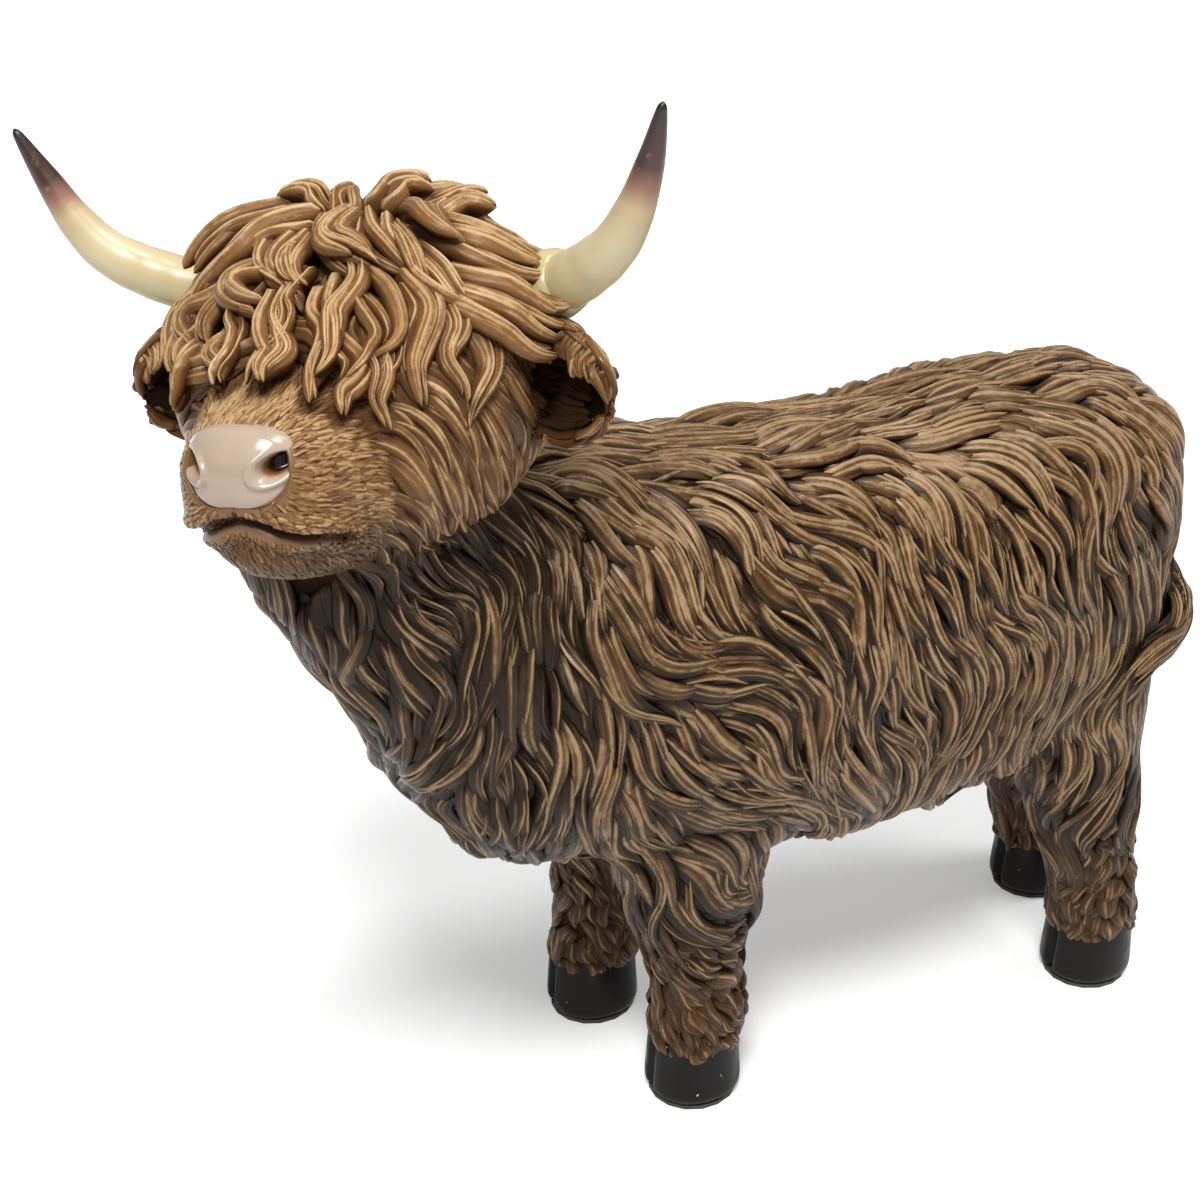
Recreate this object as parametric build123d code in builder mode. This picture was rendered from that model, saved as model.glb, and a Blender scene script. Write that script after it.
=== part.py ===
from build123d import *
import os
from math import cos, pi, radians, sin

os.makedirs("parts", exist_ok=True)

# A cast resin Highland cow. It faces -Y, its left side is +X, and it stands on z = 0.
# The origin is on the floor under the middle of the whole ornament. Millimetres.

# Trunk, from the neck joint back to the rump
spine_x = -13.5
neck_joint_y = -72.0
trunk_length = 252.0
trunk_width = 117.0
back_height = 247.0
belly_height = 98.0
wall = 11.0
# Each row: distance back, half width, top, bottom
trunk_shares = (
    (0.00, 0.92, 1.06, 0.09),
    (0.15, 0.97, 0.98, 0.05),
    (0.33, 1.00, 0.95, 0.00),
    (0.52, 1.00, 0.96, -0.02),
    (0.70, 0.98, 0.99, 0.03),
    (0.84, 0.88, 1.00, 0.13),
    (0.93, 0.71, 0.955, 0.26),
    (0.98, 0.49, 0.88, 0.40),
    (1.00, 0.28, 0.78, 0.50),
)
# Sections are rounded boxes: 1 is a round, and less is squarer
back_round_share = 0.86
belly_round_share = 0.72
coat_sides = 16
hollow_sides = 8
limb_sides = 10
horn_sides = 12

# Legs, which stand a little out of step
stance_half = 28.6
shoulder_share = 0.214
hip_share = 0.852
front_left_step = 7.5
front_right_step = -8.2
rear_left_step = 19.5
rear_right_step = 33.5
leg_width = 33.0
leg_depth = 35.0
leg_height = 168.0
# Each row: height above the hoof, width, depth, how far the leg has come back under the shoulder or hip
front_leg_shares = (
    (0.00, 1.00, 0.98, 0.00),
    (0.18, 0.97, 0.95, 0.02),
    (0.34, 1.05, 1.12, 0.15),
    (0.53, 1.22, 1.50, 0.45),
    (0.77, 1.40, 1.95, 0.85),
    (1.00, 1.25, 2.00, 1.00),
)
rear_leg_shares = (
    (0.00, 1.00, 1.05, 0.00),
    (0.18, 0.98, 1.02, 0.12),
    (0.34, 1.06, 1.12, 0.50),
    (0.53, 1.20, 1.30, 0.90),
    (0.77, 1.40, 1.50, 1.00),
    (1.00, 1.30, 1.55, 1.00),
)

# Hooves
hoof_height = 26.0
hoof_flare = 0.4
hoof_lip = 1.4
cleft_width = 3.2
cleft_depth = 12.0
cleft_height = 21.0

# Soft pads under the hooves
pad_thickness = 1.6
pad_inset = 1.5

# Steel rods up the legs
leg_rod_radius = 2.0
leg_rod_length = 86.0

# Plug in the hole under the belly that the hollow casting drains through
plug_share = 0.53
plug_radius = 12.0
plug_length = 10.0
plug_flange_width = 3.5
plug_flange_thickness = 2.5
plug_rise = -1.0
plug_clearance = 0.15

# Neck and mane, from the joint forward to the throat
neck_length = 84.0
# Each row: distance forward, drift to the left, half width, top, bottom
neck_shares = (
    (0.00, 0.00, 0.92, 1.06, 0.09),
    (0.20, 0.03, 0.91, 1.13, 0.16),
    (0.42, 0.11, 0.87, 1.22, 0.34),
    (0.62, 0.20, 0.78, 1.28, 0.545),
    (0.82, 0.29, 0.63, 1.26, 0.75),
    (1.00, 0.36, 0.38, 1.16, 0.92),
)
hollow_rows = 4

# Head, placed by its poll, turned to the left, lifted and tilted
poll_drift = 13.5
poll_forward = 38.0
poll_rise = 67.0
head_turn = 46.0
head_lift = 3.0
head_tilt = -7.0
head_length = 126.0
head_width = 108.0
head_height = 92.0
poll_share = 0.34
# Each row: distance forward from the back of the head, half width, top, bottom
head_shares = (
    (0.00, 0.42, 0.08, -0.20),
    (0.07, 0.73, 0.17, -0.44),
    (0.21, 0.92, 0.235, -0.62),
    (0.38, 0.97, 0.225, -0.69),
    (0.52, 0.91, 0.145, -0.715),
    (0.66, 0.75, 0.01, -0.715),
    (0.77, 0.58, -0.09, -0.71),
    (0.88, 0.465, -0.145, -0.675),
    (0.95, 0.385, -0.165, -0.61),
    (1.00, 0.26, -0.20, -0.54),
)

# Nose pad
nose_width = 31.0
nose_height = 20.5
nose_drop = 26.5
nose_stand = 3.5
nostril_spread = 10.0
nostril_radius = 3.2
nostril_depth = 4.0

# Horns, from the poll out to the tip
horn_reach = 96.3
horn_lead = 17.5
horn_rise = 47.2
horn_radius = 7.0
horn_root_length = 14.0
horn_root_sweep = 21.0
horn_root_lift = 14.0
# Each row: how far out, forward and up from the root to the tip
horn_shares = (
    (0.610, 0.13, 0.006),
    (0.783, 0.57, 0.21),
    (0.875, 0.74, 0.43),
    (0.944, 0.84, 0.705),
    (1, 1, 1),
)
# Each row: how far along, and how thick
horn_taper_shares = (
    (0.00, 1.00),
    (0.14, 0.92),
    (0.28, 0.82),
    (0.40, 0.72),
    (0.52, 0.62),
    (0.65, 0.50),
    (0.77, 0.39),
    (0.89, 0.26),
    (1.00, 0.12),
)
socket_clearance = 0.3
horn_pin_radius = 1.5
horn_pin_length = 24.0
pin_clearance = 0.08

# Ears, which hang out and down from under the horns
ear_length = 39.0
ear_width = 30.0
ear_thickness = 10.0
ear_wall = 2.6
ear_out = 40.0
ear_forward = 6.0
ear_drop = 21.5
ear_sweep = 16.0
ear_droop = 15.0
ear_roll = -7.0
ear_root_radius = 4.5
ear_root_length = 8.0
# Each row: distance out, width, thickness
ear_shares = (
    (0.08, 0.45, 0.95),
    (0.27, 0.82, 1.00),
    (0.50, 1.00, 0.95),
    (0.74, 0.84, 0.80),
    (0.93, 0.50, 0.55),
)

# Locks of the coat, raised from it in rows
lock_length = 41.0
lock_width = 15.0
lock_rise = 4.4
lock_sink = 2.0
# Each row: how far along a lock, its width, rise and swing to the side
lock_shares = (
    (0.00, 0.45, 0.15, 0.00),
    (0.50, 1.00, 1.00, 0.26),
    (1.00, 0.12, 0.80, -0.16),
)
# Each row of trunk locks: how far back along the trunk, and its first and last turn from the spine,
# as shares of a half turn
trunk_lock_shares = (
    (0.04, 0.05, 0.62),
    (0.16, 0.12, 0.60),
    (0.28, 0.05, 0.62),
    (0.41, 0.12, 0.66),
    (0.54, 0.05, 0.62),
    (0.67, 0.12, 0.60),
    (0.79, 0.05, 0.48),
)
trunk_lock_count = 4
top_heading = 18.0
side_heading = 72.0
# Each row of neck locks: how far forward of the joint they root, and their first and last turn
neck_lock_shares = ((0.26, 0.06, 0.80), (0.56, 0.14, 0.86), (0.86, 0.30, 0.80))
neck_lock_count = 4

# Forelock: tiers of tapered locks that fall from the crown over the face, each lock lapping the next tier
fringe_length = 40.0
fringe_width = 12.5
fringe_rise = 7.4
# Each row: how far along a lock, its width, rise and swing to the side
fringe_lock_shares = (
    (0.00, 0.50, 0.30, 0.00),
    (0.32, 1.00, 1.00, 0.20),
    (0.68, 0.80, 0.95, -0.14),
    (1.00, 0.10, 0.55, 0.14),
)
# Each tier: where its locks root along the head, its outermost turn as a share of a half turn, how
# they head and how many
nape_tier = (0.27, 0.20, 160.0, 4)
crown_tier = (0.335, 0.20, 24.0, 6)
brow_tier = (0.46, 0.35, 30.0, 8)
face_tier = (0.595, 0.40, 20.0, 8)
cheek_tier = (0.76, 0.42, 160.0, 2)
jaw_tier = (0.66, 0.72, 165.0, 2)

# Tail, from the rump round onto the left thigh
tail_radius = 4.0
tail_reach = 51.0
tail_back = 36.0
tail_length = 84.0
tail_root_share = 0.83
# Each row: how far to the left, back from the end of the trunk, and down
tail_shares = (
    (0.00, -0.33, 0.00),
    (0.00, -0.02, 0.15),
    (0.00, 0.07, 0.38),
    (0.13, 0.08, 0.61),
    (0.42, 0.03, 0.74),
    (0.76, -0.28, 0.79),
    (0.97, -0.72, 0.86),
    (1.00, -1.03, 1.00),
)
# Each row: how far along, width, thickness
tail_taper_shares = (
    (0.00, 1.00, 1.00),
    (0.15, 0.95, 0.95),
    (0.30, 1.00, 0.95),
    (0.42, 1.25, 1.00),
    (0.52, 1.60, 1.05),
    (0.62, 2.00, 1.15),
    (0.74, 2.30, 1.25),
    (0.86, 2.00, 1.15),
    (0.95, 1.20, 0.80),
    (1.00, 0.35, 0.35),
)
tail_pin_radius = 1.5
tail_pin_length = 16.0

# Dowels across the neck joint
dowel_radius = 2.5
dowel_length = 24.0
dowel_height_share = 0.52

# What a cutting form runs past the surface it opens
overrun = 6.0

# Sizes that follow from these
trunk_half = trunk_width / 2
trunk_height = back_height - belly_height
shoulder_y = neck_joint_y + shoulder_share * trunk_length
hip_y = neck_joint_y + hip_share * trunk_length
head_half = head_width / 2
head_place = (
    Pos(spine_x + poll_drift, neck_joint_y - poll_forward, back_height + poll_rise)
    * Rot(0, 0, head_turn)
    * Rot(-head_lift, 0, 0)
    * Rot(0, head_tilt, 0)
)
head_plane = Plane(head_place)
legs = {
    "front_left": (1, shoulder_y, front_left_step, front_leg_shares),
    "front_right": (-1, shoulder_y, front_right_step, front_leg_shares),
    "rear_left": (1, hip_y, rear_left_step, rear_leg_shares),
    "rear_right": (-1, hip_y, rear_right_step, rear_leg_shares),
}


def ring(half_width, top, bottom, sides, upper=1.0, lower=1.0, middle=0.0):
    """Corners of a rounded section, evenly turned round its middle: across, then up."""
    waist, rise = (top + bottom) / 2, (top - bottom) / 2
    corners = []
    for turn in range(sides):
        angle = 2 * pi * (turn + 0.5) / sides
        across, up = sin(angle), cos(angle)
        squared = upper if up > 0 else lower
        wide = abs(across) ** squared * (1 if across > 0 else -1)
        high = abs(up) ** squared * (1 if up > 0 else -1)
        corners.append((middle + half_width * wide, waist + rise * high))
    return corners


def coat_ring(half_width, top, bottom, inset, middle=0.0):
    """A section of the coat, or with an inset of the hollow inside it."""
    sides = hollow_sides if inset else coat_sides
    return ring(half_width, top, bottom, sides, back_round_share, belly_round_share, middle)


def head_point(x, y, z):
    """A place measured from the poll, to the head's left, back and up."""
    return head_plane.from_local_coords((x, y, z))


def faceted(rings):
    """A closed form with flat facets, through rings that have as many corners each."""
    faces = [Face(Wire.make_polygon(rings[0])), Face(Wire.make_polygon(rings[-1]))]
    for low, high in zip(rings, rings[1:]):
        for corner in range(len(low)):
            a, b = low[corner - 1], low[corner]
            c, d = high[corner], high[corner - 1]
            faces.append(Face(Wire.make_polygon([a, b, c])))
            faces.append(Face(Wire.make_polygon([a, c, d])))
    return Solid(Shell(faces))


def row_at(rows, along):
    """The values of a table's row at any distance along, between the rows beside it."""
    along = min(max(along, rows[0][0]), rows[-1][0])
    for low, high in zip(rows, rows[1:]):
        if along <= high[0]:
            part = (along - low[0]) / (high[0] - low[0])
            return [a + part * (b - a) for a, b in zip(low, high)]


def section_place(half_width, top, bottom, turn):
    """A place on a coat section and the way out from it: across and up. The turn is from the top."""
    waist, rise = (top + bottom) / 2, (top - bottom) / 2
    across, up = sin(turn), cos(turn)
    squared = back_round_share if up > 0 else belly_round_share
    wide = abs(across) ** squared * (1 if across > 0 else -1)
    high = abs(up) ** squared * (1 if up > 0 else -1)
    return half_width * wide, waist + rise * high, wide / half_width, high / rise


def trunk_place(along, turn):
    """A place on the trunk, and the way out from it."""
    along, half, top, bottom = row_at(trunk_shares, along)
    across, up, out_across, out_up = section_place(
        half * trunk_half, belly_height + top * trunk_height, belly_height + bottom * trunk_height, turn
    )
    spot = Vector(spine_x + across, neck_joint_y + along * trunk_length, up)
    return spot, Vector(out_across, 0, out_up).normalized()


def neck_place(along, turn):
    """A place on the neck, and the way out from it."""
    along, drift, half, top, bottom = row_at(neck_shares, along)
    across, up, out_across, out_up = section_place(
        half * trunk_half, belly_height + top * trunk_height, belly_height + bottom * trunk_height, turn
    )
    spot = Vector(spine_x + drift * neck_length + across, neck_joint_y - along * neck_length, up)
    return spot, Vector(out_across, 0, out_up).normalized()


def head_surface_place(along, turn):
    """A place on the head, and the way out from it."""
    along, half, top, bottom = row_at(head_shares, along)
    across, up, out_across, out_up = section_place(
        half * head_half, top * head_height, bottom * head_height, turn
    )
    spot = head_point(across, -(along - poll_share) * head_length, up)
    return spot, (head_point(out_across, 0, out_up) - head_point(0, 0, 0)).normalized()


def raised_lock(place, reach, girth, along, turn, heading, shares, length, width, rise):
    """One tapered lock on a surface: a ridge rooted in it, broad in its middle, with a lifted tip.

    The heading is 0 along the surface and a right angle down its side.
    """
    side = 1 if turn > 0 else -1
    spots = []
    for share, wide, high, swing in shares:
        run, sway = share * length, swing * width
        ahead = run * cos(heading) - sway * sin(heading)
        down = run * sin(heading) + sway * cos(heading)
        spots.append(place(along + ahead / reach, turn + side * down / girth))
    rings = []
    for (spot, out), before, after, row in zip(spots, [spots[0]] + spots, spots[1:] + [spots[-1]], shares):
        across = (after[0] - before[0]).cross(out).normalized() * (row[1] * width / 2)
        root = spot - out * lock_sink
        rings.append([root + across, spot + out * (row[2] * rise), root - across])
    return faceted(rings)


def trunk_locks():
    locks = []
    for row, (along, first, last) in enumerate(trunk_lock_shares):
        for column in range(trunk_lock_count):
            share = first + (last - first) * column / (trunk_lock_count - 1)
            heading = radians(top_heading + (side_heading - top_heading) * min(1, share * 3))
            size = 1 + (row + 2 * column) % 3 / 10
            for side in (1, -1):
                locks.append(
                    raised_lock(
                        trunk_place, trunk_length, trunk_half, along, side * share * pi, heading,
                        lock_shares, lock_length * size, lock_width * size, lock_rise,
                    )
                )
    return locks


def neck_locks():
    locks = []
    for row, (along, first, last) in enumerate(neck_lock_shares):
        for column in range(neck_lock_count):
            share = first + (last - first) * column / (neck_lock_count - 1)
            size = 1 + (row + column) % 2 / 10
            for side in (1, -1):
                locks.append(
                    raised_lock(
                        neck_place, -neck_length, trunk_half, along, side * share * pi, radians(side_heading),
                        lock_shares, lock_length * size, lock_width * size, lock_rise * size,
                    )
                )
    return locks


def tier_of_locks(along, widest, heading, count):
    """One tier of locks round the head, at even turns each side of its middle."""
    locks = []
    for number in range(count):
        turn = widest * (2 * number / (count - 1) - 1)
        size = 1 - number % 2 / 8
        locks.append(
            raised_lock(
                head_surface_place, head_length, head_half, along, turn * pi, radians(heading),
                fringe_lock_shares, fringe_length * size, fringe_width, fringe_rise * size,
            )
        )
    return locks


def trunk_form(inset):
    """The trunk, or with an inset the hollow inside it."""
    rings = []
    for along, half, top, bottom in trunk_shares[::2] if inset else trunk_shares:
        y = neck_joint_y + along * (trunk_length - inset)
        high = belly_height + top * trunk_height - inset
        low = belly_height + bottom * trunk_height + inset
        corners = coat_ring(half * trunk_half - inset, high, low, inset, spine_x)
        rings.append([(x, y, z) for x, z in corners])
    return faceted(rings)


def neck_form(inset, rows):
    """The neck and mane, or with an inset the hollow that runs on into them."""
    rings = []
    for along, drift, half, top, bottom in rows:
        y = neck_joint_y - along * (neck_length - inset)
        high = belly_height + top * trunk_height - inset
        low = belly_height + bottom * trunk_height + inset
        corners = coat_ring(half * trunk_half - inset, high, low, inset, spine_x + drift * neck_length)
        rings.append([(x, y, z) for x, z in corners])
    return faceted(rings)


def head_section_plane(forward):
    """A plane across the head, at a distance forward of the poll."""
    return Plane(head_place * Plane.XZ.offset(forward).location)


def head_form():
    rings = []
    for along, half, top, bottom in head_shares:
        forward = (along - poll_share) * head_length
        corners = coat_ring(half * head_half, top * head_height, bottom * head_height, 0)
        rings.append([head_point(x, -forward, z) for x, z in corners])
    return faceted(rings)


def leg_form(side, top_y, step, rows):
    """One leg, from the top of its hoof up into the trunk."""
    middle_x = spine_x + side * stance_half
    leg_start = hoof_height - hoof_lip
    rings = []
    for up, width, depth, back in rows:
        z = leg_start + up * (leg_height - leg_start)
        middle_y = top_y + step * (1 - back)
        half_depth = depth * leg_depth / 2
        corners = ring(width * leg_width / 2, half_depth, -half_depth, limb_sides)
        rings.append([(middle_x + x, middle_y + y, z) for x, y in corners])
    return faceted(rings)


def hoof_form(side, top_y, step):
    """One hoof, wider at the sole, with the cleft that parts its two toes in front."""
    x = spine_x + side * stance_half
    y = top_y + step
    with BuildPart() as form:
        for z, flare in ((pad_thickness, hoof_flare), (hoof_height, -hoof_lip)):
            with BuildSketch(Plane((x, y, z))):
                with BuildLine():
                    half_depth = leg_depth / 2 + flare
                    Polyline(*ring(leg_width / 2 + flare, half_depth, -half_depth, coat_sides), close=True)
                make_face()
        loft(ruled=True)
        with BuildSketch(Plane((x, y - leg_depth / 2 - hoof_flare, pad_thickness))):
            with BuildLine():
                half_cleft = cleft_width / 2
                Polyline((-half_cleft, -overrun), (half_cleft, -overrun), (0, cleft_depth), close=True)
            make_face()
        extrude(amount=cleft_height - pad_thickness, mode=Mode.SUBTRACT)
    return form.part


def rod(middle, direction, radius, length, back=0.0):
    """A round rod or bore, from a point along a direction, started back from the point."""
    start = Vector(middle) - Vector(direction).normalized() * back
    with BuildPart() as form:
        with BuildSketch(Plane(start, z_dir=Vector(direction))):
            Circle(radius)
        extrude(amount=length)
    return form.part


def horn_path(side):
    """The middle line of a horn, from where it leaves the hair to its tip."""
    points = [
        head_point(side * out * horn_reach, -lead * horn_lead, up * horn_rise)
        for out, lead, up in horn_shares
    ]
    sweep, lift = radians(horn_root_sweep), radians(horn_root_lift)
    root_end = head_point(side * cos(sweep) * cos(lift), -sin(sweep) * cos(lift), sin(lift))
    tip_end = head_point(side * sin(sweep), -sin(lift), 1)
    with BuildLine() as path:
        Spline(*points, tangents=(root_end - head_plane.origin, tip_end - head_plane.origin))
    return path.line


def horn_root(side):
    """Where a horn leaves the hair, and the direction that its root points."""
    path = horn_path(side)
    return path @ 0, path % 0


def horn_form(side):
    path = horn_path(side)
    rings = []
    for along, thick in horn_taper_shares:
        across = Plane(path @ along, x_dir=head_plane.y_dir, z_dir=path % along)
        corners = ring(thick * horn_radius, thick * horn_radius, -thick * horn_radius, horn_sides)
        rings.append([across.from_local_coords((x, y, 0)) for x, y in corners])
    return faceted(rings)


def ear_plane(side, out=0.0):
    """The plane across an ear, at a distance out along it: local X runs up its width."""
    sweep, droop = radians(ear_sweep), radians(ear_droop)
    along = Vector(side * cos(sweep) * cos(droop), -sin(sweep) * cos(droop), -sin(droop))
    up = Vector(0, -sin(radians(ear_roll)), cos(radians(ear_roll)))
    root = Vector(side * ear_out, -ear_forward, -ear_drop)
    return Plane(head_place * Plane(root + along * out, x_dir=up, z_dir=along).location)


def ear_blade(side, inset):
    """The ear's outer form, or with an inset the cup hollowed in its front."""
    rings = []
    for out, wide, thick in ear_shares:
        across = ear_plane(side, out * ear_length)
        middle = Plane(across.origin - head_plane.y_dir * inset * 2, x_dir=across.x_dir, z_dir=across.z_dir)
        half_thick = thick * ear_thickness / 2 - inset / 2
        corners = ring(wide * ear_width / 2 - inset, half_thick, -half_thick, limb_sides)
        rings.append([middle.from_local_coords((x, y, 0)) for x, y in corners])
    return faceted(rings)


def tail_path():
    """The middle line of the tail, from its root on the rump to the tip of its switch."""
    top = belly_height + tail_root_share * trunk_height
    end = neck_joint_y + trunk_length
    points = [
        (spine_x + left * tail_reach, end + back * tail_back, top - down * tail_length)
        for left, back, down in tail_shares
    ]
    with BuildLine() as path:
        Spline(*points)
    return path.line


def tail_form():
    path = tail_path()
    rings = []
    for along, wide, thick in tail_taper_shares:
        across = Plane(path @ along, x_dir=(1, 1, 0), z_dir=path % along)
        half_wide = wide * tail_radius
        corners = ring(thick * tail_radius, half_wide, -half_wide, limb_sides)
        rings.append([across.from_local_coords((x, y, 0)) for x, y in corners])
    return faceted(rings)


trunk = trunk_form(0)
neck = neck_form(0, neck_shares)
head = head_form()

# Body: the trunk and legs in one hollow casting, flat where the neck is glued on
hoof_middles = [
    (spine_x + side * stance_half, top_y + step, pad_thickness) for side, top_y, step, rows in legs.values()
]
leg_forms = [leg_form(*leg) for leg in legs.values()]
hoof_forms = [hoof_form(*leg[:3]) for leg in legs.values()]
leg_rods = [rod(middle, (0, 0, 1), leg_rod_radius, leg_rod_length) for middle in hoof_middles]
leg_bores = [
    rod(middle, (0, 0, 1), leg_rod_radius + pin_clearance, leg_rod_length + pin_clearance + overrun, overrun)
    for middle in hoof_middles
]
plug_y = neck_joint_y + plug_share * trunk_length
plug_face = belly_height + plug_rise
plug_seat = plug_face + plug_flange_thickness
dowel_x = trunk_shares[0][1] * trunk_half - wall / 2 - dowel_radius / 2
dowel_z = belly_height + dowel_height_share * trunk_height
dowel_middles = [(spine_x + side * dowel_x, neck_joint_y, dowel_z) for side in (-1, 1)]
dowel_bores = [
    rod(
        middle,
        (0, 1, 0),
        dowel_radius + pin_clearance,
        dowel_length + 2 * pin_clearance,
        dowel_length / 2 + pin_clearance,
    )
    for middle in dowel_middles
]
tail_line = tail_path()
tail_bore = rod(
    tail_line @ 0,
    tail_line % 0,
    tail_pin_radius + pin_clearance,
    tail_pin_length + 2 * pin_clearance,
    tail_pin_length / 2 + pin_clearance,
)

with BuildPart() as body_casting:
    add(trunk)
    add(leg_forms)
    add(hoof_forms)
    add(trunk_locks())
    add(trunk_form(wall), mode=Mode.SUBTRACT)
    with BuildSketch(Plane((spine_x, plug_y, plug_face - overrun))):
        Circle(plug_radius + plug_flange_width + plug_clearance)
    extrude(amount=plug_flange_thickness + overrun, mode=Mode.SUBTRACT)
    with BuildSketch(Plane((spine_x, plug_y, plug_face))):
        Circle(plug_radius + plug_clearance)
    extrude(amount=wall + overrun, mode=Mode.SUBTRACT)
    add(leg_bores, mode=Mode.SUBTRACT)
    add(dowel_bores, mode=Mode.SUBTRACT)
    add(tail_bore, mode=Mode.SUBTRACT)

# Head: the neck, mane and face in one casting, with sockets for the horns and ears
horn_bores = []
for side in (1, -1):
    at, tip = horn_root(side)
    horn_bores.append(
        rod(at, tip, horn_radius + socket_clearance, horn_root_length + 2 * overrun, horn_root_length)
    )
    horn_bores.append(
        rod(
            at - tip * horn_root_length,
            tip,
            horn_pin_radius + pin_clearance,
            horn_pin_length / 2 + pin_clearance + overrun,
            horn_pin_length / 2 + pin_clearance,
        )
    )
ear_bores = [
    rod(
        ear_plane(side).origin,
        ear_plane(side).z_dir,
        ear_root_radius + socket_clearance,
        ear_root_length + ear_length / 2,
        ear_root_length,
    )
    for side in (1, -1)
]

tiers = (nape_tier, crown_tier, brow_tier, face_tier, cheek_tier, jaw_tier)

with BuildPart() as head_casting:
    add(neck)
    add(head)
    add(neck_locks())
    add([lock for tier in tiers for lock in tier_of_locks(*tier)])
    with BuildSketch(head_section_plane((1 - poll_share) * head_length - overrun)):
        with Locations((0, -nose_drop)):
            Ellipse(nose_width / 2, nose_height / 2)
    with BuildSketch(head_section_plane((1 - poll_share) * head_length + nose_stand)):
        with Locations((0, -nose_drop)):
            Ellipse(nose_width / 2 - nose_stand / 2, nose_height / 2 - nose_stand / 2)
    loft()
    with BuildSketch(head_section_plane((1 - poll_share) * head_length + nose_stand)):
        with Locations((-nostril_spread, -nose_drop), (nostril_spread, -nose_drop)):
            Circle(nostril_radius)
    extrude(amount=-nostril_depth, mode=Mode.SUBTRACT)
    add(neck_form(wall, neck_shares[:hollow_rows]), mode=Mode.SUBTRACT)
    add(dowel_bores, mode=Mode.SUBTRACT)
    add(horn_bores, mode=Mode.SUBTRACT)
    add(ear_bores, mode=Mode.SUBTRACT)

pieces = {"body_casting": body_casting.part, "head_casting": head_casting.part}

for name, side in (("left", 1), ("right", -1)):
    at, tip = horn_root(side)
    seat = at - tip * horn_root_length
    pin_bore_length = horn_pin_length / 2 + pin_clearance + overrun
    with BuildPart() as horn:
        add(horn_form(side))
        add(rod(at, tip, horn_radius, horn_root_length, horn_root_length))
        add(rod(seat, tip, horn_pin_radius + pin_clearance, pin_bore_length, overrun), mode=Mode.SUBTRACT)
    with BuildPart() as horn_pin:
        add(rod(seat, tip, horn_pin_radius, horn_pin_length, horn_pin_length / 2))
    root = ear_plane(side)
    with BuildPart() as ear:
        add(ear_blade(side, 0))
        add(ear_blade(side, ear_wall), mode=Mode.SUBTRACT)
        add(head, mode=Mode.SUBTRACT)
        add(rod(root.origin, root.z_dir, ear_root_radius, 2 * ear_root_length + overrun, ear_root_length))
    pieces[name + "_horn"] = horn.part
    pieces[name + "_horn_pin"] = horn_pin.part
    pieces[name + "_ear"] = ear.part

for (name, leg), leg_rod, middle in zip(legs.items(), leg_rods, hoof_middles):
    with BuildPart() as hoof_pad:
        with BuildSketch(Plane((middle[0], middle[1], 0))):
            with BuildLine():
                half_width = leg_width / 2 + hoof_flare - pad_inset
                half_depth = leg_depth / 2 + hoof_flare - pad_inset
                Polyline(*ring(half_width, half_depth, -half_depth, coat_sides), close=True)
            make_face()
        extrude(amount=pad_thickness)
    pieces[name + "_hoof_pad"] = hoof_pad.part
    pieces[name + "_leg_rod"] = leg_rod

with BuildPart() as belly_plug:
    with BuildSketch(Plane((spine_x, plug_y, plug_face))):
        Circle(plug_radius + plug_flange_width)
    extrude(amount=plug_flange_thickness)
    with BuildSketch(Plane((spine_x, plug_y, plug_face))):
        Circle(plug_radius)
    extrude(amount=plug_length)
pieces["belly_plug"] = belly_plug.part

with BuildPart() as tail_casting:
    add(tail_form())
    add(trunk, mode=Mode.SUBTRACT)
    add(leg_forms[2], mode=Mode.SUBTRACT)
    add(tail_bore, mode=Mode.SUBTRACT)
pieces["tail_casting"] = tail_casting.part
pieces["tail_pin"] = rod(tail_line @ 0, tail_line % 0, tail_pin_radius, tail_pin_length, tail_pin_length / 2)

with BuildPart() as neck_dowels:
    for middle in dowel_middles:
        add(rod(middle, (0, 1, 0), dowel_radius, dowel_length, dowel_length / 2))
pieces["neck_dowels"] = neck_dowels.part

for name, piece in pieces.items():
    piece.label = name
    export_step(piece, "parts/" + name + ".step")
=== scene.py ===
import math

import bmesh
import bpy
import numpy as np
from mathutils import Matrix, Vector
from mathutils.bvhtree import BVHTree


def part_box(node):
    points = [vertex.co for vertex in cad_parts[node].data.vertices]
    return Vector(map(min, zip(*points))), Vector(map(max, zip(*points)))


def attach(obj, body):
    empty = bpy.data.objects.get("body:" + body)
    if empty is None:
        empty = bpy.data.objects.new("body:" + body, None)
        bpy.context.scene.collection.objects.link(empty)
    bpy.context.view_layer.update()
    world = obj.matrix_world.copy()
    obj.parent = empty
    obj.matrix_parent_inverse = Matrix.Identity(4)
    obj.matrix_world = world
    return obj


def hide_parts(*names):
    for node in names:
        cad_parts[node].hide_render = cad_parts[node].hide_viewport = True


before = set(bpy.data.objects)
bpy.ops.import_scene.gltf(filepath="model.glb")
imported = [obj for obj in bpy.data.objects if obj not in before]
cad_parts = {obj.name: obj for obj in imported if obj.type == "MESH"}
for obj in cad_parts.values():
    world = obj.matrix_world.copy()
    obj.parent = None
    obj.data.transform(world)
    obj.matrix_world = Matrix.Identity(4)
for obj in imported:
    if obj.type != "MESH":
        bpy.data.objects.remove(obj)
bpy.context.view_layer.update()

# A cast resin Highland cow. It faces -Y, its left side is +X. Lengths here are millimetres until a
# mesh is made, and the scene itself is in metres.
MM = 0.001
rng = np.random.default_rng(7)

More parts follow.
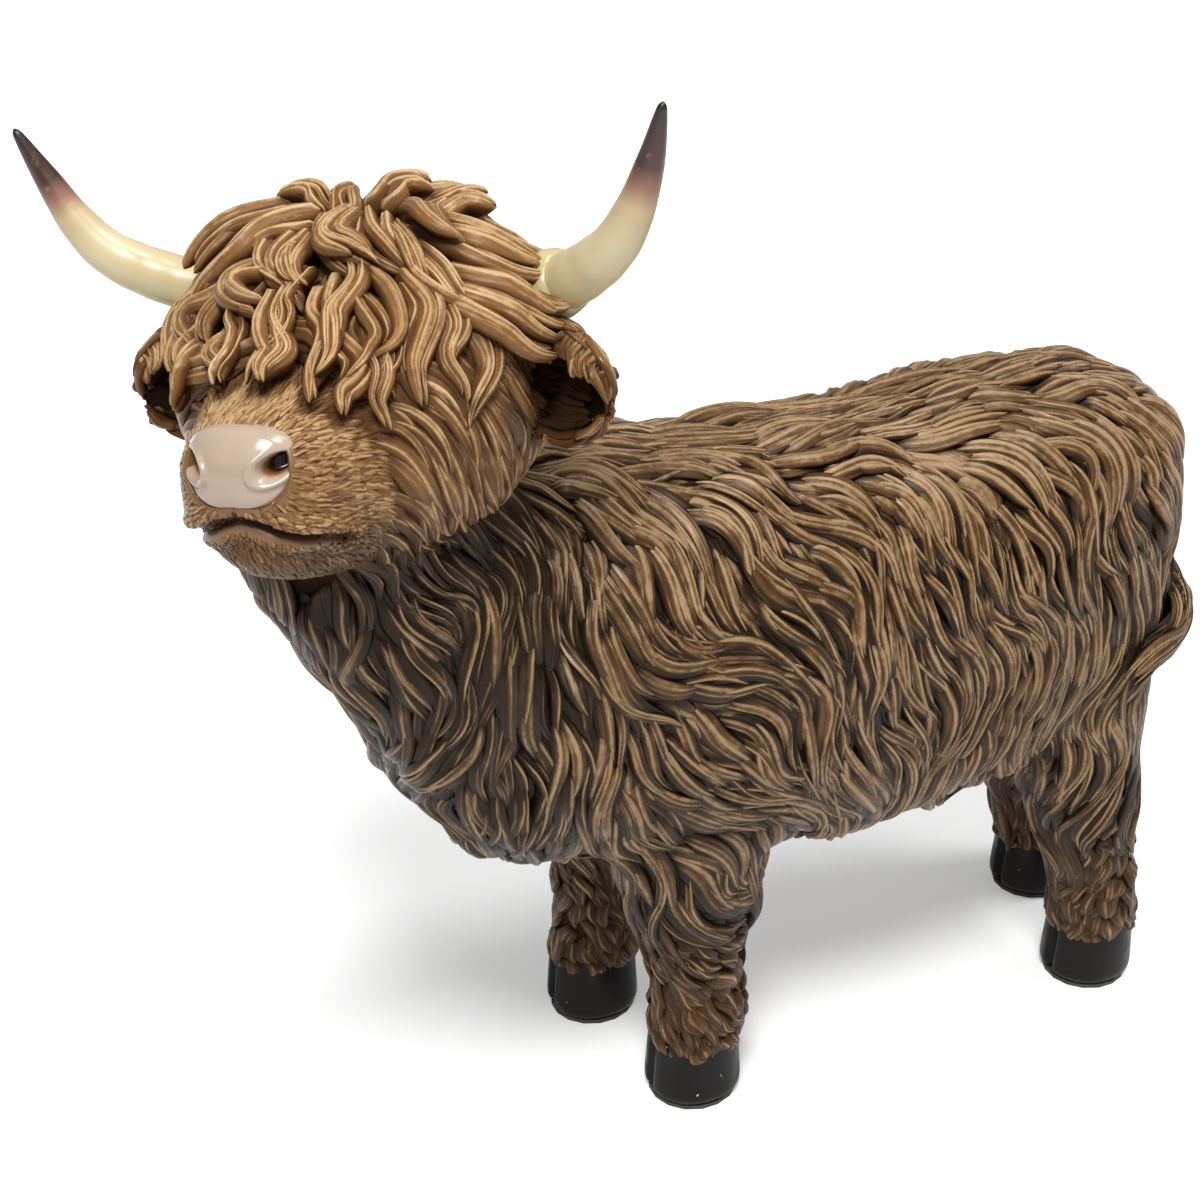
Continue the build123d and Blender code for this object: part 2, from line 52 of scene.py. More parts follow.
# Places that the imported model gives
spine_x = -13.5
neck_joint_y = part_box("body_casting")[0].y / MM
hoof_height = 26.0
hooves = {}
for leg in ("front_left", "front_right", "rear_left", "rear_right"):
    low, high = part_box(leg + "_hoof_pad")
    hooves[leg] = np.array(((low.x + high.x) / 2, (low.y + high.y) / 2)) / MM

# Head frame: measured from the poll, to the head's left, back and up
poll = np.array((0.0, -110.0, 314.0))
head_turn, head_lift, head_tilt = 46.0, 3.0, -7.0
head_axes = np.array(
    Matrix.Rotation(math.radians(head_turn), 3, "Z")
    @ Matrix.Rotation(math.radians(-head_lift), 3, "X")
    @ Matrix.Rotation(math.radians(head_tilt), 3, "Y")
)


def from_head(places):
    """Places measured from the poll, as places in the object's frame."""
    return np.asarray(places, float) @ head_axes.T + poll


def to_head(places):
    return (np.asarray(places, float) - poll) @ head_axes


def unit(vectors):
    return vectors / np.maximum(np.linalg.norm(vectors, axis=-1, keepdims=True), 1e-9)


def smooth_step(low, high, value):
    t = np.clip((value - low) / (high - low), 0, 1)
    return t * t * (3 - 2 * t)


# Meshes

def place_object(name, data):
    piece = bpy.data.objects.new(name, data)
    bpy.context.scene.collection.objects.link(piece)
    return piece


def mesh_object(name, vertices, face_groups, attributes=None, uvs=None):
    """A smooth shaded mesh from arrays in millimetres. Each face group is an array of faces alike."""
    mesh = bpy.data.meshes.new(name)
    vertices = np.asarray(vertices, np.float32) * MM
    mesh.vertices.add(len(vertices))
    mesh.vertices.foreach_set("co", vertices.ravel())
    corners = np.concatenate([group.ravel() for group in face_groups]).astype(np.int32)
    totals = np.concatenate([np.full(len(group), group.shape[1]) for group in face_groups]).astype(np.int32)
    mesh.loops.add(len(corners))
    mesh.loops.foreach_set("vertex_index", corners)
    mesh.polygons.add(len(totals))
    mesh.polygons.foreach_set("loop_start", (np.cumsum(totals) - totals).astype(np.int32))
    mesh.polygons.foreach_set("loop_total", totals)
    mesh.polygons.foreach_set("use_smooth", np.ones(len(totals), bool))
    mesh.update(calc_edges=True)
    for label, values in (attributes or {}).items():
        layer = mesh.attributes.new(label, "FLOAT", "POINT")
        layer.data.foreach_set("value", np.asarray(values, np.float32).ravel())
    if uvs is not None:
        layer = mesh.uv_layers.new(name="OFBake")
        layer.data.foreach_set("uv", np.asarray(uvs, np.float32).ravel())
    return place_object(name, mesh)


def mesh_arrays(piece):
    """A mesh object's vertices in millimetres, its vertex normals and its triangles."""
    mesh = piece.data
    mesh.calc_loop_triangles()
    arrays = []
    for items, label, number in (
        (mesh.vertices, "co", np.float32),
        (mesh.vertices, "normal", np.float32),
        (mesh.loop_triangles, "vertices", np.int32),
    ):
        values = np.empty(len(items) * 3, number)
        items.foreach_get(label, values)
        arrays.append(values.reshape(-1, 3))
    return arrays[0].astype(float) / MM, arrays[1].astype(float), arrays[2]


def largest_part(piece):
    """Keeps only the largest separate shell of a mesh."""
    form = bmesh.new()
    form.from_mesh(piece.data)
    form.verts.ensure_lookup_table()
    left = set(form.verts)
    parts = []
    while left:
        start = left.pop()
        part, edge = [start], [start]
        while edge:
            vertex = edge.pop()
            for link in vertex.link_edges:
                other = link.other_vert(vertex)
                if other in left:
                    left.remove(other)
                    part.append(other)
                    edge.append(other)
        parts.append(part)
    parts.sort(key=len)
    bmesh.ops.delete(form, geom=[v for part in parts[:-1] for v in part], context="VERTS")
    form.to_mesh(piece.data)
    form.free()


def skin_of(meshes, name, voxel, rounds):
    """One smooth closed skin over some closed meshes."""
    form = bmesh.new()
    for part in meshes:
        form.from_mesh(part)
    mesh = bpy.data.meshes.new(name)
    form.to_mesh(mesh)
    form.free()
    piece = place_object(name, mesh)
    remesh = piece.modifiers.new("skin", "REMESH")
    remesh.mode = "VOXEL"
    remesh.voxel_size = voxel * MM
    relax = piece.modifiers.new("relax", "SMOOTH")
    relax.iterations = rounds
    graph = bpy.context.evaluated_depsgraph_get()
    piece.data = bpy.data.meshes.new_from_object(piece.evaluated_get(graph))
    piece.modifiers.clear()
    largest_part(piece)
    return piece


def vertex_normals(vertices, triangles):
    corners = vertices[triangles]
    areas = np.cross(corners[:, 1] - corners[:, 0], corners[:, 2] - corners[:, 0])
    normals = np.zeros_like(vertices)
    for corner in range(3):
        np.add.at(normals, triangles[:, corner], areas)
    return unit(normals)


def relaxed(vertices, triangles, rounds):
    """Evens out a skin. Each vertex moves halfway to the middle of its neighbours, for its own rounds."""
    pairs = np.concatenate((triangles[:, [0, 1]], triangles[:, [1, 2]], triangles[:, [2, 0]]))
    pairs = np.concatenate((pairs, pairs[:, ::-1]))
    vertices, count = vertices.copy(), len(vertices)
    neighbours = np.bincount(pairs[:, 0], minlength=count)[:, None]
    for step in range(int(rounds.max())):
        sums = [np.bincount(pairs[:, 0], vertices[pairs[:, 1], axis], count) for axis in range(3)]
        moves = rounds > step
        vertices[moves] += 0.5 * (np.stack(sums, axis=1) / neighbours - vertices)[moves]
    return vertices


class Surface:
    """Finds the nearest place on a skin, with its smooth normal."""

    def __init__(self, vertices, triangles):
        self.tree = BVHTree.FromPolygons(vertices.tolist(), triangles.tolist())
        self.vertices, self.triangles = vertices, triangles
        corners = vertices[triangles]
        areas = np.cross(corners[:, 1] - corners[:, 0], corners[:, 2] - corners[:, 0])
        self.areas = np.linalg.norm(areas, axis=1) / 2
        self.face_normals = unit(vertex_normals(vertices, triangles)[triangles].sum(1))

    def nearest(self, places):
        found = np.empty_like(places)
        faces = np.empty(len(places), int)
        for i, place in enumerate(places.tolist()):
            found[i], _, faces[i], _ = self.tree.find_nearest(place)
        return found, self.face_normals[faces]

    def scatter(self, tries, draw):
        """Places spread at random over the skin."""
        chosen = draw.choice(len(self.areas), tries, p=self.areas / self.areas.sum())
        a, b = draw.random(tries), draw.random(tries)
        flip = a + b > 1
        a[flip], b[flip] = 1 - a[flip], 1 - b[flip]
        first, second, third = np.moveaxis(self.vertices[self.triangles[chosen]], 1, 0)
        return first + a[:, None] * (second - first) + b[:, None] * (third - first)


def thin_out(places, spacing):
    """Which places to keep, so that no two lie nearer to each other than the spacing."""
    around = [(dx, dy, dz) for dx in (-1, 0, 1) for dy in (-1, 0, 1) for dz in (-1, 0, 1)]
    kept, grid = [], {}
    for i, place in enumerate(places):
        x, y, z = (place // spacing).astype(int)
        near = [j for dx, dy, dz in around for j in grid.get((x + dx, y + dy, z + dz), ())]
        if near and (np.sum((places[near] - place) ** 2, axis=1) < spacing * spacing).any():
            continue
        kept.append(i)
        grid.setdefault((x, y, z), []).append(i)
    return np.array(kept)


# The lie of the coat: places and the way the hair runs there. Across is measured from the spine.
side_lie = [
    # across, y, z, and the way: outwards, back, up
    (0, -60, 262, 0.15, 1, -0.2),
    (0, -20, 250, 0.15, 1, -0.2),
    (0, 30, 245, 0.15, 1, -0.2),
    (0, 80, 247, 0.15, 1, -0.2),
    (0, 130, 250, 0.1, 1, -0.3),
    (0, 165, 238, 0.1, 0.8, -0.6),
    (0, 182, 200, 0.2, 0.1, -1),
    (0, 176, 165, 0.2, -0.1, -1),
    (32, -50, 250, 0.5, 0.55, -0.7),
    (32, 0, 240, 0.5, 0.75, -0.5),
    (32, 50, 238, 0.5, 0.8, -0.5),
    (32, 100, 242, 0.5, 0.7, -0.5),
    (30, 145, 240, 0.45, 0.5, -0.7),
    (24, 172, 215, 0.4, 0.2, -1),
    (55, -60, 225, 0, 0.25, -1),
    (57, -30, 220, 0, 0.35, -0.95),
    (57, 5, 215, 0, 0.45, -0.9),
    (57, 50, 212, 0, 0.45, -0.9),
    (55, 90, 215, 0, 0.4, -0.9),
    (50, 125, 215, 0, 0.3, -0.95),
    (42, 155, 205, 0, 0.15, -1),
    (60, -62, 190, 0, 0, -1),
    (61, -38, 192, 0, 0.85, -0.5),
    (61, -20, 170, 0, 1, -0.25),
    (61, -10, 150, 0, 0.85, -0.55),
    (61, 12, 170, 0, 0.45, -0.9),
    (61, 45, 185, 0, 0.3, -0.95),
    (61, 80, 180, 0, 0.2, -1),
    (56, 115, 180, 0, 0.1, -1),
    (60, 28, 140, 0, 0.3, -1),
    (58, 66, 140, 0, 0.1, -1),
    (55, 100, 142, 0, -0.1, -1),
    (45, 20, 110, -0.3, 0.2, -1),
    (45, 60, 108, -0.3, 0.1, -1),
    (45, 95, 115, -0.3, 0.1, -1),
    (46, 135, 165, 0, -0.1, -1),
    (40, 158, 150, 0, 0.1, -1),
    (15, 20, 100, 0.3, 1, -0.3),
    (15, 70, 102, 0.3, 1, -0.3),
    (15, 110, 110, 0.3, 1, -0.3),
    # neck and chest
    (0, -85, 290, 0.1, 1, -0.3),
    (40, -80, 262, 0.1, 0.4, -0.9),
    (54, -80, 225, 0, 0, -1),
    (52, -85, 190, 0, -0.1, -1),
    (50, -92, 160, -0.1, -0.1, -1),
    (45, -75, 125, -0.3, 0.1, -1),
    (50, -50, 140, 0, 0.3, -1),
    (40, -110, 180, -0.2, -0.4, -0.9),
    (20, -100, 140, -0.1, 0, -1),
    (10, -130, 190, 0, 0, -1),
]
leg_lie = [
    # where on the leg: outwards, back, height, and the way: outwards, back, up
    (0, -17, 100, 0.25, 0.1, -1),
    (0, -17, 50, 0.35, 0.1, -1),
    (17, -6, 110, 0, 0.75, -0.6),
    (17, -6, 70, 0, 0.75, -0.65),
    (17, -6, 35, 0, 0.45, -0.9),
    (17, 8, 90, 0, 0.9, -0.4),
    (17, 8, 50, 0, 0.8, -0.6),
    (0, 17, 90, 0, 0.3, -1),
    (0, 17, 40, 0, 0.3, -1),
    (-17, 0, 90, 0, 0.6, -0.8),
    (-17, 0, 40, 0, 0.4, -0.9),
]
rear_leg_lie = [
    (0, -17, 100, 0, -0.1, -1),
    (0, -17, 50, 0, -0.1, -1),
    (17, -7, 100, 0, -0.35, -0.9),
    (17, -7, 50, 0, -0.35, -0.9),
    (17, 7, 100, 0, 0.5, -0.85),
    (17, 7, 50, 0, 0.5, -0.85),
    (0, 17, 90, 0, 0.2, -1),
    (0, 17, 40, 0, 0.2, -1),
    (-17, 0, 90, 0, 0.3, -0.95),
    (-17, 0, 40, 0, 0.3, -0.95),
]
head_lie = [
    # in the head frame: out from its middle, back, up, and the way
    (0, 25, 20, 0.2, 0.9, -0.4),
    (0, -5, 26, 0.3, -1, 0),
    (25, 0, 22, 0.9, -0.5, -0.2),
    (0, -35, 8, 0.1, -0.8, -0.6),
    (20, -40, 0, 0.2, -0.5, -0.9),
    (45, -10, 5, 0.6, -0.4, -0.9),
    (48, 10, -10, 0.3, 0.5, -0.9),
    (0, -60, -10, 0.1, 0.9, 0.3),
    (20, -60, -20, 0.3, 0.8, -0.3),
    (32, -42, -14, 0.3, 0.4, -0.85),
    (30, -45, -30, 0.15, 0.35, -0.93),
    (38, -25, -30, 0.1, 0.55, -0.83),
    (45, -5, -35, 0, 0.35, -0.93),
    (45, 20, -40, 0, 0.3, -0.95),
    (24, -65, -40, 0.2, 0.9, -0.2),
    (25, -50, -55, 0.1, 0.45, -0.85),
    (0, -70, -60, 0, 0.5, -0.85),
    (0, -40, -66, 0, 0.6, -0.8),
    (30, -15, -60, 0, 0.5, -0.85),
    (0, 40, 0, 0, 0.5, -0.9),
    (30, 38, -10, 0.2, 0.4, -0.9),
]


def lie_table():
    """Every place and way of the coat's lie, on both sides, in the object's frame."""
    rows = []
    for across, y, z, out, back, up in side_lie:
        for side in (1, -1):
            rows.append((spine_x + side * across, y, z, side * out, back, up))
    for leg, (x, y) in hooves.items():
        side = 1 if x > spine_x else -1
        for across, along, z, out, back, up in leg_lie if "front" in leg else rear_leg_lie:
            rows.append((x + side * across, y + along, z, side * out, back, up))
    for across, along, z, out, back, up in head_lie:
        for side in (1, -1):
            place = from_head((side * across, along, z))
            way = np.array((side * out, back, up)) @ head_axes.T
            rows.append((*place, *way))
    table = np.array(rows)
    table[:, 3:] = unit(table[:, 3:])
    return table


lie = lie_table()


def turned(ways, normals, angles):
    return ways * np.cos(angles)[:, None] + np.cross(normals, ways) * np.sin(angles)[:, None]


def swirl_at(places):
    """How far the coat's shared waves turn its lie: the same for neighbouring locks."""
    x, y, z = places.T
    run = 0.42 * y - 0.84 * z
    across = 0.84 * y + 0.42 * z
    turn = 0.38 * np.sin(2 * np.pi * run / 62 + 1.5 * np.sin(across / 17) + 0.7)
    turn += 0.17 * np.sin(2 * np.pi * run / 31 + 1.1 * np.sin(across / 11 + 1.0))
    side = np.where(x > spine_x, 1.0, -1.0) * smooth_step(0, 16, np.abs(x - spine_x))
    low = smooth_step(20, 95, z)
    head = smooth_step(-90, -60, to_head(places)[:, 2])
    return turn * side * low * (1 - 0.7 * head)


def lie_at(places, normals):
    """The way the coat runs at each place, along the surface."""
    ways = np.empty_like(places)
    for start in range(0, len(places), 2000):
        part = slice(start, start + 2000)
        gaps = np.sum((places[part, None, :] - lie[None, :, :3]) ** 2, axis=2)
        weights = 1 / (gaps + 60.0) ** 2
        ways[part] = weights @ lie[:, 3:]
    ways -= normals * np.sum(ways * normals, axis=1, keepdims=True)
    return turned(unit(ways), normals, swirl_at(places))


# Locks of hair

def eased(path, out, rounds):
    """Evens out paths and their outward ways between their ends."""
    for again in range(rounds):
        path[:, 1:-1] = (path[:, :-2] + 2 * path[:, 1:-1] + path[:, 2:]) / 4
        out[:, 1:-1] = unit(out[:, :-2] + 2 * out[:, 1:-1] + out[:, 2:])
    return path, out


def lay_paths(surface, starts, lengths, curls, phases, waves, steps):
    """Paths that follow the lie of the coat over the skin, all at once."""
    places, normals = surface.nearest(starts)
    path = np.empty((len(starts), steps, 3))
    out = np.empty_like(path)
    stride = (lengths / (steps - 1))[:, None]
    ways = lie_at(places, normals)
    for step in range(steps):
        t = step / (steps - 1)
        ways = unit(0.5 * ways + 0.5 * lie_at(places, normals))
        bent = turned(ways, normals, curls * np.sin(2 * np.pi * waves * t + phases))
        path[:, step], out[:, step] = places, normals
        places, normals = surface.nearest(places + bent * stride)
    return eased(path, out, 2)


def read_along(values, t):
    """Values at shares t of a path, between its steps."""
    spot = np.clip(t, 0, 1) * (values.shape[1] - 1)
    low = np.minimum(spot.astype(int), values.shape[1] - 2)
    part = (spot - low)[..., None]
    rows = np.arange(len(values))[:, None]
    return values[rows, low] * (1 - part) + values[rows, low + 1] * part


def form_locks(path, out, kind, draw):
    """Locks of hair side by side along each path, as rings of points with their paint values."""
    clumps, strands, rings = len(path), kind["strands"], kind["rings"]
    tau = np.linspace(0, 1, rings)
    u = np.linspace(-1, 1, kind["across"])
    # Along a lock: its width, its thickness, how high it lies and how its combing fades at the ends
    swell = (tau + kind["blunt"]) ** 0.38 * (1.0 - tau) ** 0.6 / 0.53 + 0.035
    bulk = smooth_step(-0.05, kind["root"], tau) * (1.0 - tau) ** 0.35 / 0.85 + 0.04
    settle = smooth_step(-0.1, 0.6, tau) - kind["settle"] * smooth_step(0.6, 1.0, tau)
    fade = smooth_step(0.0, 0.12, 1 - tau) * smooth_step(-0.2, 0.15, tau)
    wide = kind["width"] * draw.uniform(0.8, 1.25, clumps)
    tall = kind["height"] * draw.uniform(0.75, 1.3, clumps)
    lift = kind["lift"] * draw.uniform(0.4, 1.5, clumps)
    tone = draw.random(clumps)
    reach = np.cumsum(np.linalg.norm(np.diff(path, axis=1), axis=2), axis=1)[:, -1]
    parts = []
    for strand in range(strands):
        place = (strand - (strands - 1) / 2) / strands
        shift = (place + draw.uniform(-0.1, 0.1, clumps)) * wide
        half = wide / strands * draw.uniform(0.62, 1.0, clumps)
        first = draw.uniform(0.0, 0.14, clumps)
        last = 1 - draw.uniform(0.0, 0.26, clumps) * (1 if strands > 1 else 0.3)
        t = first[:, None] + (last - first)[:, None] * tau
        middle, normal = read_along(path, t), unit(read_along(out, t))
        ahead = unit(np.gradient(middle, axis=1))
        side = unit(np.cross(normal, ahead))
        normal = unit(np.cross(ahead, side))
        gather = 1 - kind["gather"] * t ** 1.5
        wobble = 0.12 * wide[:, None] * np.sin(t * 7 + draw.uniform(0, 6.3, clumps)[:, None])
        middle = middle + side * (shift[:, None] * gather + wobble)[..., None]
        widths = half[:, None] * swell
        heights = (tall * draw.uniform(0.75, 1.2, clumps))[:, None] * bulk
        rise = lift * draw.uniform(0.7, 1.3, clumps)
        levels = -kind["sink"] + (rise + kind["sink"])[:, None] * settle
        groove_count = kind["grooves"] * draw.uniform(0.8, 1.25, clumps)
        groove_start = draw.uniform(0, 6.3, clumps)
        wave = (groove_count[:, None] * u / 2 + groove_start[:, None]) % 1.0
        comb = (1 - 2 * np.abs(2 * wave - 1) ** 0.8)[:, None, :]
        lean = kind["lean"] * draw.uniform(0.3, 1.0, (clumps, 1))
        lean = lean * draw.choice((-1, 1), (clumps, 1), p=(0.35, 0.65))
        beside = np.abs(u - lean) / np.where(u > lean, 1 - lean, 1 + lean)
        arch = ((1 - np.minimum(beside, 1.0) ** kind["round"]) ** 0.8)[:, None, :]
        combing = kind["comb"] * comb * fade[:, None] * arch ** 0.4
        top = levels[:, :, None] + heights[:, :, None] * arch + combing
        deep = levels - np.minimum(kind["depth"], 1.6 * widths + 0.2)
        offsets = widths[:, :, None] * u
        ring = middle[:, :, None] + side[:, :, None] * offsets[..., None]
        ring = ring + normal[:, :, None] * top[..., None]
        keel = middle + normal * deep[..., None]
        ring = np.concatenate((ring, keel[:, :, None]), axis=2)
        below = np.zeros((clumps, rings, 1))
        crest = np.clip(0.74 * arch ** 1.2 + 0.3 * comb, 0, 1) * np.ones((clumps, rings, 1))
        parts.append({
            "across": np.concatenate((offsets, below), axis=2) + 10.0 * strand + 100.0 * tone[:, None, None],
            "along": np.broadcast_to((tau * reach[:, None])[:, :, None], ring.shape[:3]),
            "points": ring,
            "crest": np.concatenate((crest, below), axis=2),
            "tone": np.broadcast_to((0.6 * tone + 0.4 * draw.random(clumps))[:, None, None], ring.shape[:3]),
            "out": np.broadcast_to(normal[:, :, None], ring.shape),
        })
    return {label: np.concatenate([part[label] for part in parts]) for label in parts[0]}


def lock_piece(name, locks):
    """One mesh of many locks, each a closed ring of points along its length."""
    count, rings, around = locks["points"].shape[:3]
    base = np.arange(count)[:, None, None] * rings * around
    quads = (base + grid_quads(rings, around)).reshape(-1, 4)
    spot = np.arange(around)
    ends = np.concatenate((base[:, 0] + spot[::-1], base[:, 0] + (rings - 1) * around + spot))
    # Each lock has its own cell of the map, with a margin in it for its two ends
    margin = 0.08
    columns = max(1, int(math.sqrt(count * 2.4)))
    rows = math.ceil(count / columns)
    cell_x = (np.arange(count) % columns)[:, None] / columns
    cell_y = (np.arange(count) // columns)[:, None] / rows
    across = (np.arange(around + 1) / around) * (1 - 2 * margin) + margin
    along = np.linspace(margin, 1 - margin, rings)[:, None]
    shape = (count, rings - 1, around, 1)
    corners = [
        np.concatenate(
            (
                np.broadcast_to((cell_x[:, None] + u / columns)[..., None], shape),
                np.broadcast_to((cell_y[:, None] + v / rows)[..., None], shape),
            ),
            axis=-1,
        )
        for u, v in (
            (across[:-1], along[:-1]),
            (across[1:], along[:-1]),
            (across[1:], along[1:]),
            (across[:-1], along[1:]),
        )
    ]
    uvs = [np.stack(corners, axis=3).reshape(-1, 2)]
    turn = np.linspace(0, 2 * np.pi, around, endpoint=False)
    disc = np.stack((np.cos(turn), np.sin(turn)), axis=-1) * 0.3 * margin
    for v, flip in ((margin / 2, -1), (1 - margin / 2, 1)):
        u_spot = cell_x + (0.5 + disc[::flip, 0]) / columns
        v_spot = cell_y + (v + disc[::flip, 1]) / rows
        uvs.append(np.stack((u_spot, v_spot), axis=-1).reshape(-1, 2))
    attributes = {label: locks[label] for label in ("crest", "tone", "across", "along", "wash_and_shade", "warm")}
    return mesh_object(name, locks["points"].reshape(-1, 3), [quads, ends], attributes, np.concatenate(uvs))


# Dark wash paint and painted shade deep between the locks: how crowded each place is with hair

class Crowding:
    """How much of the space above each place is taken up, on a coarse grid."""

    def __init__(self, clouds, pitch):
        places = np.concatenate(clouds)
        self.pitch = pitch
        self.low = places.min(0) - 6 * pitch
        size = np.ceil((places.max(0) - self.low) / pitch).astype(int) + 6
        cells = ((places - self.low) / pitch).astype(int)
        grid = np.zeros(size, np.float32)
        grid[tuple(cells.T)] = 1.0
        for again in range(2):
            for axis in range(3):
                grid = (np.roll(grid, 1, axis) + grid + np.roll(grid, -1, axis)) / 3
        self.grid = grid

    def at(self, places):
        spots = (places - self.low) / self.pitch - 0.5
        low = np.clip(np.floor(spots).astype(int), 0, np.array(self.grid.shape) - 2)
        part = np.clip(spots - low, 0, 1).astype(np.float32)
        total = np.zeros(len(places), np.float32)
        for corner in np.ndindex(2, 2, 2):
            share = np.prod(np.where(corner, part, 1 - part), axis=1)
            total += share * self.grid[tuple((low + corner).T)]
        return total


# Materials

class Nodes:
    """Short ways to add and link shader nodes."""

    def __init__(self, tree):
        self.tree = tree

    def put(self, value, socket):
        if isinstance(value, bpy.types.NodeSocket):
            self.tree.links.new(value, socket)
        else:
            socket.default_value = value

    def node(self, kind, inputs=()):
        """A new node, with some of its inputs given as values or links."""
        node = self.tree.nodes.new("ShaderNode" + kind)
        for label, value in dict(inputs).items():
            self.put(value, node.inputs[label])
        return node

    def attribute(self, name):
        node = self.node("Attribute")
        node.attribute_name = name
        return node.outputs["Fac"]

    def place(self):
        return self.node("TexCoord").outputs["Object"]

    def noise(self, scale, detail=3.0, roughness=0.5, place=None):
        inputs = {"Scale": scale, "Detail": detail, "Roughness": roughness, "Vector": place or self.place()}
        return self.node("TexNoise", inputs).outputs["Fac"]

    def math(self, operation, a, b):
        node = self.node("Math", {0: a, 1: b})
        node.operation = operation
        return node.outputs[0]

    def plus(self, a, b):
        return self.math("ADD", a, b)

    def less(self, a, b):
        return self.math("SUBTRACT", a, b)

    def times(self, a, b):
        return self.math("MULTIPLY", a, b)

    def about(self, value, amount):
        """A value from 0 to 1 as a swing about nought."""
        return self.times(self.less(value, 0.5), amount)

    def vector(self, x, y, z):
        return self.node("CombineXYZ", {0: x, 1: y, 2: z}).outputs[0]

    def spread(self, value, low, high, to_low=0.0, to_high=1.0):
        """A value eased from one range to another."""
        inputs = {"Value": value, "From Min": low, "From Max": high, "To Min": to_low, "To Max": to_high}
        node = self.node("MapRange", inputs)
        node.interpolation_type = "SMOOTHSTEP"
        return node.outputs["Result"]

    def mix(self, share, first, second):
        node = self.node("Mix")
        node.data_type = "RGBA"
        for label, value in (("Factor", share), ("A", first), ("B", second)):
            self.put(value, node.inputs[label])
        return node.outputs["Result"]

    def ramp(self, value, stops):
        node = self.node("ValToRGB", {"Fac": value})
        edge = node.color_ramp.elements
        while len(edge) < len(stops):
            edge.new(0.5)
        for element, (position, color) in zip(edge, stops):
            element.position = position
            element.color = color
        return node.outputs["Color"]

    def bump(self, height, strength, distance):
        inputs = {"Strength": strength, "Distance": distance, "Height": height}
        return self.node("Bump", inputs).outputs["Normal"]

    def uneven(self, scale, detail, low, high):
        """A roughness that wanders between two values."""
        return self.spread(self.noise(scale, detail), 0.3, 0.7, low, high)

    def grain(self, scale, detail, strength, distance):
        """A fine noise as a bump."""
        return self.bump(self.noise(scale, detail), strength, distance)


class Material(Nodes):
    """A material of shader nodes."""

    def __init__(self, name):
        self.material = bpy.data.materials.new(name)
        self.material.use_nodes = True
        super().__init__(self.material.node_tree)
        self.sockets = self.tree.nodes["Principled BSDF"].inputs

    def finish(self, color, rough, bump):
        for label, value in (("Base Color", color), ("Roughness", rough), ("Normal", bump)):
            self.put(value, self.sockets[label])
        return self.material


def paint(red, green, blue):
    """A paint as its eye values from 0 to 255."""
    def linear(value):
        value /= 255
        return value / 12.92 if value <= 0.04045 else ((value + 0.055) / 1.055) ** 2.4
    return (linear(red), linear(green), linear(blue), 1.0)


def coat_material(name="painted_coat", gloss_low=0.26, gloss_high=0.5, shine=0.25):
    """Brown resin with a dark wash and painted shade in its grooves, tan brushed over its ridges, pale painted
    glints of gloss on some strands, and a thin gloss.
    """
    n = Material(name)
    n.sockets["Specular IOR Level"].default_value = shine
    n.sockets["Specular Tint"].default_value = (1.0, 0.8, 0.62, 1.0)
    wash_and_shade, crest, tone, warm = (n.attribute(label) for label in ("wash_and_shade", "crest", "tone", "warm"))
    across, along = n.times(n.attribute("across"), 1.5), n.times(n.attribute("along"), 0.07)
    strands = n.noise(1.0, 2.0, 0.6, n.vector(across, along, tone))
    blotch = n.noise(38.0)
    speck = n.noise(330.0, 4.0, 0.65)
    body = n.mix(tone, paint(82, 57, 33), paint(104, 75, 45))
    body = n.mix(n.spread(blotch, 0.35, 0.7), body, paint(88, 58, 36))
    body = n.mix(warm, body, paint(124, 88, 52))
    ridge = n.mix(tone, paint(142, 115, 82), paint(164, 137, 103))
    ridge = n.mix(warm, ridge, n.mix(tone, paint(168, 133, 90), paint(200, 167, 125)))
    # The dry brush leaves tan where the hair stands proud
    proud = n.less(n.times(crest, 1.15), n.times(wash_and_shade, 0.55))
    for value, amount in ((strands, 1.1), (blotch, 0.6), (speck, 0.9)):
        proud = n.plus(proud, n.about(value, amount))
    proud = n.less(proud, n.times(warm, 0.08))
    color = n.mix(n.spread(proud, 0.34, 0.92), body, ridge)
    # Painted glints: small pale patches that stand in for gloss highlights on the strands
    painted_glint = n.times(n.spread(n.noise(24.0, 2.0), 0.6, 0.72), n.spread(strands, 0.5, 0.72))
    color = n.mix(n.times(painted_glint, 0.45), color, paint(196, 184, 176))
    # The wash paint and painted shade darken where the hair lies deep
    deep = n.plus(n.times(wash_and_shade, 1.15), n.times(n.less(1.0, crest), 0.62))
    deep = n.less(deep, n.about(strands, 0.7))
    dark = n.mix(warm, paint(17, 8, 3), paint(88, 57, 32))
    color = n.mix(n.spread(deep, 0.5, 1.12, 0.0, 0.98), color, dark)
    dull = n.plus(n.noise(26.0, 2.0), n.times(wash_and_shade, 0.35))
    rough = n.plus(strands, n.times(speck, 0.25))
    return n.finish(color, n.spread(dull, 0.4, 0.85, gloss_low, gloss_high), n.bump(rough, 0.5, 0.0006))


def face_material():
    """Ochre on the muzzle, darker along the lips."""
    n = Material("painted_face")
    lip = n.attribute("lip")
    color = n.mix(n.noise(60.0), paint(96, 66, 38), paint(132, 94, 54))
    color = n.mix(n.spread(lip, 0.12, 0.6), color, paint(74, 46, 36))
    color = n.mix(n.spread(lip, 0.7, 1.0), color, paint(34, 20, 16))
    return n.finish(color, n.uneven(40.0, 2.0, 0.32, 0.5), n.grain(700.0, 3.0, 0.3, 0.0004))


